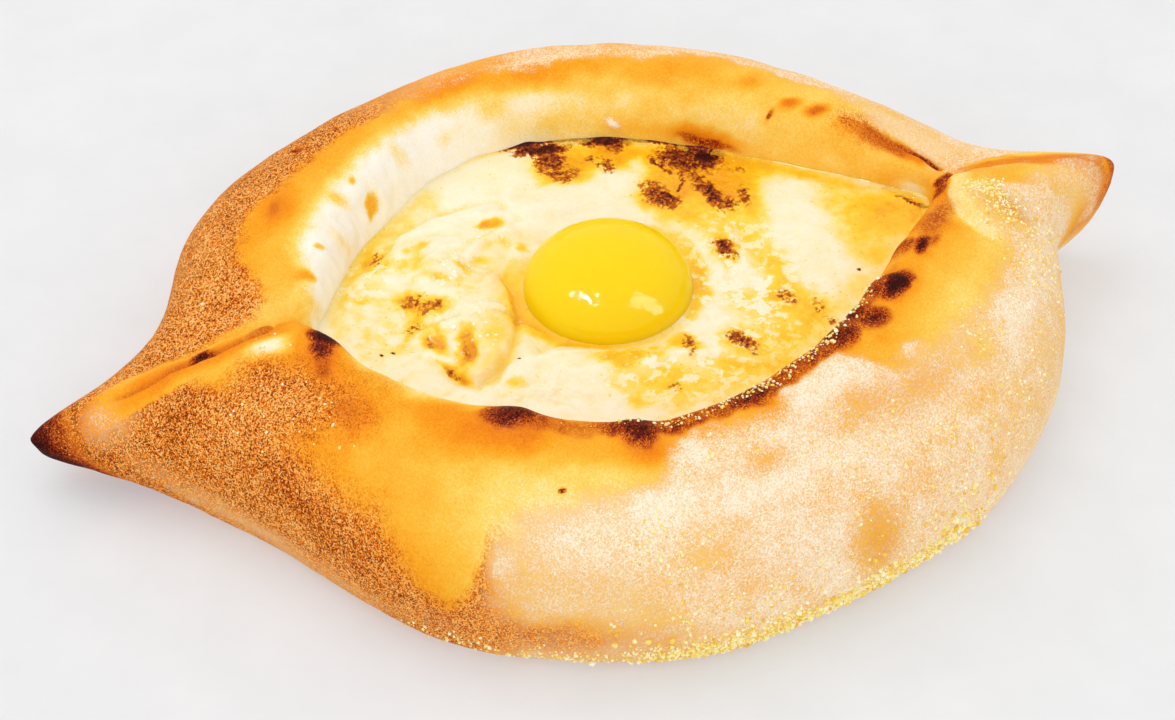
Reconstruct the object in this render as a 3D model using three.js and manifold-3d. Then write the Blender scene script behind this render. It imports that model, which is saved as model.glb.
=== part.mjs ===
// A boat-shaped cheese bread (khachapuri): a round loaf with a high rolled wall, pinched to a point at
// each end, filled with melted cheese, with a raw egg yolk set in the middle and cornmeal stuck to the crust.
//
// Millimetres. +X runs along the boat towards its slim tip, +Y across it and +Z up. The origin is under the
// middle of the loaf, on the surface that it rests on. Angles are in degrees about the middle of the
// filling, from +X towards +Y.

import * as THREE from "three";
import { mergeVertices } from "three/addons/utils/BufferGeometryUtils.js";
import Module from "manifold-3d";

const wasm = await Module();
wasm.setup();

// ---- Driving dimensions -------------------------------------------------------------------------------

const BODY_RADIUS = 95; // the loaf's round middle, to its widest line
const WALL_HEIGHT = 40; // the crest of the wall above the table
const BELLY_HEIGHT = 11; // the widest line above the table
const FOOT_INSET = 5; // how far the flat underside lies inside the widest line
const RIM_WIDTH = 8.5; // from the edge of the filling out to the crest of the wall
const HOLLOW_RADIUS = 54.5; // the filling's round middle, at its edge
const PIT_SHARE = 0.84; // the hollow's floor against its edge
const HOLLOW_FLOOR = 9; // the bread left under the filling
const FILLING_HEIGHT = 27.5; // the filling's surface at the middle of the loaf
const FILLING_FALL = 0.052; // how much lower it lies for each millimetre towards the far side
const YOLK_RADIUS = 20.4;
const FIT_GAP = 0.4; // clearance between a piece and the one that holds it

// ---- Curves round the loaf ----------------------------------------------------------------------------
// A curve is a round radius or height, broad swells and sharp points. "at" is the angle in degrees, "reach"
// how far a swell or point spreads to either side, in degrees, and "rise" what it adds, in millimetres.

const LONG_TIP = 180;
const SLIM_TIP = 3.8;
const POINT_BLUNTNESS = 2;

const OUTLINE = {
  swells: [
    { at: -8, reach: 36, rise: 22 }, // the broad shoulder behind the slim tip
    { at: 150, reach: 19, rise: 9.5 }, // the shoulder beside the long tip
    { at: 100, reach: 26, rise: -4.6 },
    { at: 212, reach: 22, rise: -3.8 },
    { at: 252, reach: 12, rise: -1.6 },
    { at: 316, reach: 17, rise: 2.9 },
    { at: 18, reach: 7, rise: 3.4 },
  ],
  points: [
    { at: LONG_TIP, reach: [5.9, 9.4], rise: 40.4 },
    { at: SLIM_TIP, reach: [2.6, 3.2], rise: 26.3 },
  ],
};

const HOLLOW = {
  swells: [
    { at: 270, reach: 60, rise: -3 },
    { at: 90, reach: 60, rise: 3.5 },
    { at: 236, reach: 16, rise: -3.2 }, // where the near wall's rim bulges over the filling
    { at: 256, reach: 9, rise: -1.2 },
    { at: 135, reach: 12, rise: -1.4 },
  ],
  points: [
    { at: LONG_TIP + 2, reach: [18, 18], rise: 13 },
    { at: SLIM_TIP + 2, reach: [24, 20], rise: 36 },
  ],
};

// How far the crest stands outside the edge of the filling: a slope on the far side, a lip on the near one.
const CREST_SETBACK = {
  swells: [{ at: 90, reach: 55, rise: 5 }, { at: 270, reach: 50, rise: 1 }],
  points: [
    { at: LONG_TIP, reach: [20, 20], rise: -4 },
    { at: SLIM_TIP, reach: [20, 20], rise: -5 },
  ],
};

// The crest's height above the table.
const CREST = {
  swells: [
    { at: 12, reach: 8, rise: -5 }, // the far wall sinks where the slim tip's flap begins
    { at: LONG_TIP - 7, reach: 9, rise: -3 }, // and where the near wall's end lies over it
    { at: 42, reach: 16, rise: 1.6 },
    { at: SLIM_TIP, reach: 7, rise: -3.2 },
  ],
  points: [],
};

// How the wall's section changes at the two tips, in millimetres, and how full its curves are.
const TIP_REACH = 9; // how far either side of a tip the change runs, in degrees
const TIP_FOOT_INSET = { long: 30, slim: 16 }; // the flat underside stays back from the tips
const TIP_BELLY_LIFT = { long: 2, slim: 15 }; // the tips' edges lift off the table
const LONG_TIP_DROP = 1.5; // the crest sinks towards the long tip
const OUTER_FULLNESS = { round: 2.25, long: -0.95, slim: 0.6 };
const INNER_FULLNESS = { near: 3.2, far: -1.7 };

/** The signed turn in degrees from one angle to another, from -180 to 180. */
const turn = (from, to) => ((((to - from + 180) % 360) + 360) % 360) - 180;

/** The sum of a curve's swells and points at an angle. */
function along(curve, angle) {
  let sum = 0;
  for (const swell of curve.swells) {
    sum += swell.rise * Math.exp(-((turn(swell.at, angle) / swell.reach) ** 2));
  }
  for (const point of curve.points) {
    const away = turn(point.at, angle);
    const reach = away < 0 ? point.reach[0] : point.reach[1];
    sum += point.rise * Math.exp((POINT_BLUNTNESS - Math.hypot(away, POINT_BLUNTNESS)) / reach);
  }
  return sum;
}

/** How near an angle is to a tip: 1 at the tip, falling off over the tips' reach. */
const nearTip = (tip, angle) => Math.exp(-((turn(tip, angle) / TIP_REACH) ** 2));

/** The key points of the wall's section at an angle: radii from the middle of the filling, and heights. */
function wallSection(angle) {
  const longTip = nearTip(LONG_TIP, angle);
  const slimTip = nearTip(SLIM_TIP, angle);
  const sine = Math.sin(THREE.MathUtils.degToRad(angle));
  const far = 0.5 + 0.5 * sine;
  const hollow = HOLLOW_RADIUS + along(HOLLOW, angle);
  const belly = BODY_RADIUS + along(OUTLINE, angle);
  return {
    foot: belly - FOOT_INSET - TIP_FOOT_INSET.long * longTip - TIP_FOOT_INSET.slim * slimTip,
    belly,
    bellyHeight: BELLY_HEIGHT + TIP_BELLY_LIFT.long * longTip + TIP_BELLY_LIFT.slim * slimTip,
    crest: hollow + RIM_WIDTH + along(CREST_SETBACK, angle),
    crestHeight: WALL_HEIGHT + along(CREST, angle) - LONG_TIP_DROP * longTip,
    hollow,
    fillingHeight: fillingLevel(hollow * sine),
    pit: hollow * PIT_SHARE,
    outerFullness: OUTER_FULLNESS.round + OUTER_FULLNESS.long * longTip + OUTER_FULLNESS.slim * slimTip,
    innerFullness: INNER_FULLNESS.near + INNER_FULLNESS.far * far,
  };
}

/** The filling's level where it has no relief: it lies lower towards the far side. */
function fillingLevel(y) {
  return FILLING_HEIGHT - FILLING_FALL * y;
}

// ---- Folds and curds ----------------------------------------------------------------------------------

// A fold follows a line over the crust, in plan from the middle of the filling. "left" and "right", seen
// along the line, say how much the dough rises beside it and how far out that reaches, "soft" how wide the
// step between them is, and "fade" how long its two soft ends are.
const FOLDS = [
  {
    // the near wall's end, curled over the far wall at the long tip
    line: [[-60, -15], [-66, -5], [-76, -1], [-98, 0.5], [-132, 0]],
    left: { rise: 2.4, reach: 9 },
    right: { rise: -3.6, reach: 9 },
    soft: 1.4,
    fade: [12, 45],
  },
  {
    // the flap of dough that was pinched over the corner at the slim tip
    line: [[132, 5], [114, 8], [100, 8.5], [93, 5], [90.5, -4], [94, -13], [104, -20]],
    left: { rise: 2.6, reach: 14 },
    right: { rise: -1.6, reach: 7 },
    soft: 3,
    fade: [35, 16],
  },
];

// Curds standing out of the filling: where, in plan from the middle, the direction of the long side, half
// the length, half the width, and the height.
const CURDS = [
  { at: [-30, 0], heading: 100, half: [19, 8.5], rise: 3.4 },
  { at: [-33, 19], heading: 20, half: [13, 7.5], rise: 2.4 },
  { at: [-9, -26], heading: -12, half: [17, 7.5], rise: 2.6 },
  { at: [-12, 33], heading: 5, half: [22, 9], rise: 1.4 },
  { at: [33, 8], heading: -60, half: [14, 6], rise: 1.5 },
  { at: [21, -28], heading: 20, half: [15, 7], rise: 1.2 },
  { at: [58, 14], heading: -30, half: [20, 12], rise: 1.3 },
  { at: [-48, 10], heading: 70, half: [16, 7], rise: 1.4 },
];

/** Where a point stands beside a line of straight stretches: the distance from it, positive to its right,
 * then how far along the line that is, and the line's whole length. */
function fromLine(line, x, y) {
  let best = [Infinity, 0];
  let length = 0;
  for (let i = 0; i + 1 < line.length; i += 1) {
    const [ax, ay] = line[i];
    const [dx, dy] = [line[i + 1][0] - ax, line[i + 1][1] - ay];
    const stretch = Math.hypot(dx, dy);
    const share = Math.min(1, Math.max(0, ((x - ax) * dx + (y - ay) * dy) / stretch ** 2));
    const [ox, oy] = [x - ax - share * dx, y - ay - share * dy];
    const away = Math.hypot(ox, oy);
    if (away < Math.abs(best[0])) {
      best = [dy * ox - dx * oy >= 0 ? away : -away, length + share * stretch];
    }
    length += stretch;
  }
  return [...best, length];
}

/** What the folds add to the height of the crust at a point in plan. */
function foldRise(x, y) {
  let sum = 0;
  for (const fold of FOLDS) {
    const [away, before, whole] = fromLine(fold.line, x, y);
    const ends = Math.min(1, before / fold.fade[0]) * Math.min(1, (whole - before) / fold.fade[1]);
    const rightness = 1 / (1 + Math.exp(-away / fold.soft));
    const left = (1 - rightness) * fold.left.rise * Math.exp(-((away / fold.left.reach) ** 2));
    const right = rightness * fold.right.rise * Math.exp(-((away / fold.right.reach) ** 2));
    sum += ends * (left + right);
  }
  return sum;
}

/** What the curds add to the height of the filling at a point in plan. */
function curdRise(x, y) {
  let sum = 0;
  for (const curd of CURDS) {
    const heading = THREE.MathUtils.degToRad(curd.heading);
    const [dx, dy] = [x - curd.at[0], y - curd.at[1]];
    const u = (dx * Math.cos(heading) + dy * Math.sin(heading)) / curd.half[0];
    const v = (dy * Math.cos(heading) - dx * Math.sin(heading)) / curd.half[1];
    sum += curd.rise * Math.exp(-(u * u + v * v));
  }
  return sum;
}

// ---- Turned surfaces ----------------------------------------------------------------------------------

const ROUND_STEPS = 120; // segments round the loaf
const TIP_CROWDING = 0.7; // how much closer the segments stand at the tips, from 0

/** The angle in degrees at a share of the way round, crowded towards the two tips. */
function roundAngle(share) {
  const even = 2 * Math.PI * share;
  return THREE.MathUtils.radToDeg(even - (TIP_CROWDING / 2) * Math.sin(2 * even));
}

/** A closed turned surface: a lathe's rings and poles, each vertex placed by place(angle, ring). */
function turned(rings, steps, place) {
  const pole = (i) => i === 0 || i === rings - 1;
  const profile = Array.from({ length: rings }, (_, i) => new THREE.Vector2(pole(i) ? 0 : 1, i));
  const geometry = new THREE.LatheGeometry(profile, steps);
  const { position, uv } = geometry.attributes;
  for (let i = 0; i < position.count; i += 1) {
    const angle = roundAngle(uv.getX(i) % 1);
    const ring = Math.round(uv.getY(i) * (rings - 1));
    position.setXYZ(i, ...place(angle, ring));
  }
  geometry.deleteAttribute("normal");
  geometry.deleteAttribute("uv");
  return mergeVertices(geometry, 1e-4);
}

/** A point at a radius, an angle and a height. */
function polar(radius, angle, height) {
  const turnedBy = THREE.MathUtils.degToRad(angle);
  return [radius * Math.cos(turnedBy), radius * Math.sin(turnedBy), height];
}

/** The share of a quarter round of a given fullness: 2 is an ellipse, 1 a straight line, more is squarer. */
function quarter(step, steps, fullness) {
  const at = (Math.PI / 2) * (step / steps);
  return [Math.cos(at) ** (2 / fullness), Math.sin(at) ** (2 / fullness)];
}

/** Turns a geometry into a manifold-3d solid. */
function solidOf(geometry) {
  return new wasm.Manifold(
    new wasm.Mesh({
      numProp: 3,
      vertProperties: new Float32Array(geometry.attributes.position.array),
      triVerts: new Uint32Array(geometry.index.array),
    }),
  );
}

/** Turns a manifold-3d solid back into a geometry. */
function geometryOf(solid) {
  const mesh = solid.getMesh();
  const geometry = new THREE.BufferGeometry();
  geometry.setAttribute("position", new THREE.BufferAttribute(mesh.vertProperties, 3));
  geometry.setIndex(new THREE.BufferAttribute(mesh.triVerts, 1));
  return geometry;
}

// ---- Bread --------------------------------------------------------------------------------------------

const UNDER_STEPS = 3; // rings from the foot up to the belly
const OUTER_STEPS = 9; // from the belly up to the crest
const INNER_STEPS = 7; // from the crest down to the filling

/** The crust's shell from the underside over the crest into the hollow. */
function breadPoint(angle, ring) {
  const wall = wallSection(angle);
  if (ring === 0) return [0, 0, 0];
  let step = ring - 1;
  if (step <= UNDER_STEPS) {
    const [out, up] = quarter(UNDER_STEPS - step, UNDER_STEPS, 2);
    return polar(wall.foot + (wall.belly - wall.foot) * out, angle, wall.bellyHeight * (1 - up));
  }
  step -= UNDER_STEPS;
  if (step <= OUTER_STEPS) {
    const [out, up] = quarter(step, OUTER_STEPS, wall.outerFullness);
    const [x, y] = polar(wall.crest + (wall.belly - wall.crest) * out, angle, 0);
    const height = wall.bellyHeight + (wall.crestHeight - wall.bellyHeight) * up;
    return [x, y, height + foldRise(x, y) * up];
  }
  step -= OUTER_STEPS;
  if (step <= INNER_STEPS) {
    const [up, inward] = quarter(step, INNER_STEPS, wall.innerFullness);
    const [x, y] = polar(wall.crest + (wall.hollow - wall.crest) * inward, angle, 0);
    const height = wall.fillingHeight + (wall.crestHeight - wall.fillingHeight) * up;
    return [x, y, height + foldRise(x, y) * up];
  }
  step -= INNER_STEPS;
  return step === 1 ? polar(wall.pit, angle, HOLLOW_FLOOR) : [0, 0, HOLLOW_FLOOR];
}

const BREAD_RINGS = 1 + (UNDER_STEPS + 1) + OUTER_STEPS + INNER_STEPS + 2;
let bread = solidOf(turned(BREAD_RINGS, ROUND_STEPS, breadPoint));

// ---- Cornmeal -----------------------------------------------------------------------------------------

const GRAIN_COUNT = 130;
const GRAIN_RADIUS = [0.7, 1.15];
const GRAIN_SQUASH = [0.78, 0.3]; // how flat a grain is at least, and what a draw adds
const GRAIN_SINK = 0.35; // the share of a grain's radius that is baked into the crust
// Where the loaf was dusted, in degrees, with the least chance of a grain within the band.
const GRAIN_BAND = { from: 232, to: 326, densest: 292, reach: 22, elsewhere: 0.15 };
const GRAIN_HIGHEST = 0.32; // how far up the outer curve they reach, from the belly to the crest
const GRAIN_LOWEST = 2.2; // the lowest grains' height above the table
const GRAIN_CROWDING = 1.6; // over 1 crowds them towards the foot
const GRAIN_UNDER_BELLY = 0.33; // the share of them that sits under the widest line

/** A seeded draw from 0 to 1. */
function draws(seed) {
  let state = seed;
  return () => {
    state = (state * 1664525 + 1013904223) % 4294967296;
    return state / 4294967296;
  };
}

/** A grain of cornmeal: a small uneven lump, sunk into the lower crust at an angle. */
function grain(draw) {
  let angle;
  let chance;
  do {
    angle = GRAIN_BAND.from + (GRAIN_BAND.to - GRAIN_BAND.from) * draw();
    chance = GRAIN_BAND.elsewhere + Math.exp(-(((angle - GRAIN_BAND.densest) / GRAIN_BAND.reach) ** 2));
  } while (draw() > chance);
  const radius = GRAIN_RADIUS[0] + (GRAIN_RADIUS[1] - GRAIN_RADIUS[0]) * draw();
  const climb = draw() ** GRAIN_CROWDING;
  const wall = wallSection(angle);
  let reach;
  let height;
  if (climb > GRAIN_UNDER_BELLY) {
    const [out, up] = quarter(climb * GRAIN_HIGHEST, 1, wall.outerFullness);
    reach = wall.crest + (wall.belly - wall.crest) * out;
    height = wall.bellyHeight + (wall.crestHeight - wall.bellyHeight) * up;
  } else {
    height = GRAIN_LOWEST + ((wall.bellyHeight - GRAIN_LOWEST) * climb) / GRAIN_UNDER_BELLY;
    const drop = 1 - height / wall.bellyHeight;
    reach = wall.foot + (wall.belly - wall.foot) * Math.sqrt(1 - drop ** 2);
  }
  const lump = new THREE.IcosahedronGeometry(radius, 0);
  const squash = () => GRAIN_SQUASH[0] + GRAIN_SQUASH[1] * draw();
  lump.scale(1, squash(), squash());
  lump.rotateX(2 * Math.PI * draw());
  lump.rotateZ(2 * Math.PI * draw());
  lump.translate(...polar(reach - radius * GRAIN_SINK, angle, Math.max(height, radius + FIT_GAP / 2)));
  lump.deleteAttribute("normal");
  lump.deleteAttribute("uv");
  return solidOf(mergeVertices(lump, 1e-4));
}

const draw = draws(7); // the seed
for (let i = 0; i < GRAIN_COUNT; i += 1) bread = bread.add(grain(draw));
bread = bread.decompose().reduce((a, b) => (a.volume() > b.volume() ? a : b));

// ---- Yolk ---------------------------------------------------------------------------------------------

const YOLK = {
  at: [4.5, -1],
  level: 28.6, // its widest line above the table
  above: 12.5, // its height over that line
  below: 7,
  rings: 13,
  steps: 40,
};

/** The yolk, grown by a gap: a dome on a shallower bowl. */
function yolkGeometry(grow) {
  return turned(YOLK.rings, YOLK.steps, (angle, ring) => {
    const tilt = Math.PI * (ring / (YOLK.rings - 1)) - Math.PI / 2;
    const half = tilt > 0 ? YOLK.above : YOLK.below;
    const [x, y] = polar((YOLK_RADIUS + grow) * Math.cos(tilt), angle, 0);
    return [YOLK.at[0] + x, YOLK.at[1] + y, YOLK.level + (half + grow) * Math.sin(tilt)];
  });
}

// ---- Filling ------------------------------------------------------------------------------------------

const FILLING_STEPS = 96; // segments round the filling
const FILLING_RINGS = 12; // rings of the surface, from its edge to the middle
const EDGE_CALM = 0.12; // the share of the radius over which the curds fade at the edge

/** The filling: its own side a little inside the hollow's, and a surface with curds. */
function fillingPoint(angle, ring) {
  const wall = wallSection(angle);
  if (ring === 0) return [0, 0, HOLLOW_FLOOR + FIT_GAP];
  if (ring === 1) return polar(wall.pit - 2 * FIT_GAP, angle, HOLLOW_FLOOR + FIT_GAP);
  const share = 1 - (ring - 2) / FILLING_RINGS;
  const [x, y] = polar((wall.hollow - 2 * FIT_GAP) * share, angle, 0);
  const calm = Math.min(1, (1 - share) / EDGE_CALM);
  return [x, y, fillingLevel(y) + calm * curdRise(x, y)];
}

const cheese = solidOf(turned(FILLING_RINGS + 3, FILLING_STEPS, fillingPoint)).subtract(
  solidOf(yolkGeometry(FIT_GAP)),
);

// ---- The loaf -----------------------------------------------------------------------------------------

/** A named mesh with its own finish. */
function piece(name, geometry, colour, roughness) {
  const mesh = new THREE.Mesh(
    geometry,
    new THREE.MeshStandardMaterial({ color: colour, roughness, metalness: 0 }),
  );
  mesh.name = name;
  return mesh;
}

const khachapuri = new THREE.Group();
khachapuri.name = "khachapuri";
khachapuri.add(piece("bread", geometryOf(bread), "#e0a05a", 0.75));
khachapuri.add(piece("cheese", geometryOf(cheese), "#f7e7b0", 0.4));
khachapuri.add(piece("yolk", yolkGeometry(0), "#ffc516", 0.15));

// The loaf is set over the origin: what was measured from the middle of the filling moves with it.
const box = new THREE.Box3().setFromObject(khachapuri);
const middle = box.getCenter(new THREE.Vector3());
khachapuri.position.set(-middle.x, -middle.y, -box.min.z);

export default khachapuri;
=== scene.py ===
"""A boat-shaped cheese bread (khachapuri): the finished look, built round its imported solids.

The loaf is a turned surface whose sections are placed by the same named sizes as its solid, then given its
blisters, folds and scorched rim. Its filling, the raw yolk, the melted butter and the cornmeal are built the
same way. Sizes are in millimetres from the middle of the filling ("the plan") until a mesh is stored, which
is in metres in the part's own frame.
"""

import enum
import logging
import math
from dataclasses import dataclass, field, replace
from itertools import product
from typing import Any, ClassVar, Sequence

import bmesh
import bpy
import numpy as np
from mathutils import Matrix, Vector

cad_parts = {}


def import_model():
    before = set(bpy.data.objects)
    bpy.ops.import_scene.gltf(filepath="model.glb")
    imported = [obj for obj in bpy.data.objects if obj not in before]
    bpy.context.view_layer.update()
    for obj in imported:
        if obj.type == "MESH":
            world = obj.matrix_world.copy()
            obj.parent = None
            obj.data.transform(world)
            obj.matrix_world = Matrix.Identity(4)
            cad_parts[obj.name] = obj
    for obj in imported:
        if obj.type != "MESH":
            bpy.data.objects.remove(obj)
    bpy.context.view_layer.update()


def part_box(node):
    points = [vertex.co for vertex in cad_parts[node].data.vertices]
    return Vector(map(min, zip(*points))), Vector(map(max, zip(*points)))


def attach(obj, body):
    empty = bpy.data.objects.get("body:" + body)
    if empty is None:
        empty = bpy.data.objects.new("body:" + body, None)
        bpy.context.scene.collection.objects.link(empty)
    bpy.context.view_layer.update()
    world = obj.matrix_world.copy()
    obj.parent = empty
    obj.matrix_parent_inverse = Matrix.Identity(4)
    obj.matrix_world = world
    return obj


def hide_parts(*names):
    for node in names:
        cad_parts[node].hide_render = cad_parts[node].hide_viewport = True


LOG = logging.getLogger("khachapuri")
MM = 0.001
BODY = "root"
PLAN_YOLK = (4.5, -1.0)  # the yolk's middle on the plan, which ties the plan to the part's frame
WALL_DEGREE = 1.35  # how many millimetres a degree is round the middle of the wall
NOISE_GAIN = 1.5  # makes the noise run from about -1 to 1

Array = np.ndarray
Stops = tuple[tuple[float, str], ...]  # the (place, hex colour) stops of a colour ramp
Curve = tuple[tuple[float, float], ...]  # the (angle, value) stops of a curve round the loaf
Line = tuple[tuple[float, float], ...]  # the corners of a line, on the plan or in a section
Band = tuple[float, float, float, float]  # where a soft band begins, is whole, begins to fade and ends


# ---- Small tools --------------------------------------------------------------------------------------


class Side(enum.Enum):
    """The two coordinate systems in which the crust is painted."""

    PLAN = "plan"  # x and y in millimetres
    WALL = "wall"  # the angle round the loaf and the millimetres down from the crest


def linear(code: str) -> tuple[float, float, float, float]:
    """Turns an sRGB hex colour into linear light.

    Args:
        code: six hex digits.

    Returns:
        Red, green, blue and an alpha of one.
    """
    parts = [int(code[i : i + 2], 16) / 255 for i in (0, 2, 4)]
    light = [part / 12.92 if part <= 0.04045 else ((part + 0.055) / 1.055) ** 2.4 for part in parts]
    return (light[0], light[1], light[2], 1.0)


def turn_between(start: float, end: Array) -> Array:
    """The signed turn in degrees from one angle to others, from -180 to 180."""
    return (end - start + 180) % 360 - 180


def heading(angle: Array) -> tuple[Array, Array]:
    """The cosine and the sine of angles in degrees."""
    return np.cos(np.radians(angle)), np.sin(np.radians(angle))


def toward(value: Array, goal: Any, share: Array) -> Array:
    """A value moved towards a goal by a share of the way."""
    return value + (goal - value) * share


def smooth(low: float, high: float, value: Array) -> Array:
    """A soft step from 0 at low to 1 at high, either way round."""
    share = np.clip((value - low) / (high - low), 0, 1)
    return share * share * (3 - 2 * share)


def within(band: Band, value: Array) -> Array:
    """How much values lie within a soft band, 0 to 1."""
    return smooth(band[0], band[1], value) * smooth(band[3], band[2], value)


def noise_at(points: Array, size: float, seed: int = 0) -> Array:
    """Smooth noise, about -1 to 1, at points in space: slopes at the corners of a lattice, faded together.

    Args:
        points: millimetres, with x, y and z last.
        size: the width of one lump in millimetres.
        seed: picks another pattern.

    Returns:
        One value for each point.
    """
    place = points.reshape(-1, 3) / size + 37.3 * seed
    cell = np.floor(place).astype(np.int64)
    inside = place - cell
    fade = inside**3 * (inside * (inside * 6 - 15) + 10)
    total = np.zeros(len(place))
    for corner in product((0, 1), repeat=3):
        key = (cell + corner) @ np.array((73856093, 19349663, 83492791)) + seed * 9176
        key = (key ^ (key >> 13)) * 1274126177 % 2**31
        key = (key ^ (key >> 15)) * 668265263 % 2**31
        slope = np.stack([key >> 1, key >> 11, key >> 21], -1) % 1024 / 511.5 - 1
        weight = np.prod(np.where(corner, fade, 1 - fade), axis=-1)
        total += weight * ((inside - corner) * slope).sum(-1)
    return NOISE_GAIN * total.reshape(points.shape[:-1])


def noises(points: Array, *layers: tuple[float, float, int]) -> Array:
    """The sum of layers of noise, each with its rise, the width of its lumps and its seed."""
    return sum(rise * noise_at(points, size, seed) for rise, size, seed in layers)


def along_curve(stops: Curve, angle: Array) -> Array:
    """Reads a curve round the loaf at any angles."""
    angles, values = zip(*stops)
    return np.interp(angle % 360, angles, values, period=360)


# ---- Form of the loaf ---------------------------------------------------------------------------------


@dataclass(frozen=True)
class Swell:
    """A broad rise of a curve round the loaf: its angle and reach in degrees, and its rise in mm."""

    at: float
    reach: float
    rise: float

    def value(self, angle: Array) -> Array:
        """The rise at each angle."""
        return self.rise * np.exp(-((turn_between(self.at, angle) / self.reach) ** 2))


@dataclass(frozen=True)
class Point:
    """A sharp rise of a curve round the loaf, with its own reach before and after it."""

    at: float
    reach: tuple[float, float]
    rise: float
    bluntness: float = 2.0

    def value(self, angle: Array) -> Array:
        """The rise at each angle."""
        away = turn_between(self.at, angle)
        reach = np.where(away < 0, self.reach[0], self.reach[1])
        return self.rise * np.exp((self.bluntness - np.hypot(away, self.bluntness)) / reach)


Rises = tuple[Swell | Point, ...]  # what a curve round the loaf is the sum of


@dataclass(frozen=True)
class Fold:
    """A fold of the crust along a line on the plan.

    The dough rises by left and right (rise, reach) on the two sides of the line, with a step of a soft
    width between them, and the fold fades in and out over its two ends.
    """

    line: Line
    left: tuple[float, float]
    right: tuple[float, float]
    soft: float
    fade: tuple[float, float]

    def value(self, x: Array, y: Array) -> Array:
        """What the fold adds to the height at points on the plan."""
        away, before, whole = from_line(self.line, x, y)
        ends = np.minimum(1, before / self.fade[0]) * np.minimum(1, (whole - before) / self.fade[1])
        rightness = 1 / (1 + np.exp(-away / self.soft))
        left = (1 - rightness) * self.left[0] * np.exp(-((away / self.left[1]) ** 2))
        right = rightness * self.right[0] * np.exp(-((away / self.right[1]) ** 2))
        return ends * (left + right)


def from_line(line: Line, x: Array, y: Array) -> tuple[Array, Array, float]:
    """Where points stand beside a line of straight stretches.

    Args:
        line: the line's corners on the plan.
        x: the points' first coordinate.
        y: the points' second coordinate.

    Returns:
        The distance from the line, positive to its right, how far along it that is, and its whole length.
    """
    nearest = np.full(x.shape, np.inf)
    before = np.zeros(x.shape)
    length = 0.0
    for (ax, ay), (bx, by) in zip(line, line[1:]):
        dx, dy = bx - ax, by - ay
        stretch = math.hypot(dx, dy)
        share = np.clip(((x - ax) * dx + (y - ay) * dy) / stretch**2, 0, 1)
        ox, oy = x - ax - share * dx, y - ay - share * dy
        away = np.hypot(ox, oy)
        closer = away < np.abs(nearest)
        nearest = np.where(closer, np.where(dy * ox - dx * oy >= 0, away, -away), nearest)
        before = np.where(closer, length + share * stretch, before)
        length += stretch
    return nearest, before, length


def sum_round(curve: Rises, angle: Array) -> Array:
    """The sum of a curve's swells and points at each angle."""
    return sum(part.value(angle) for part in curve)


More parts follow.
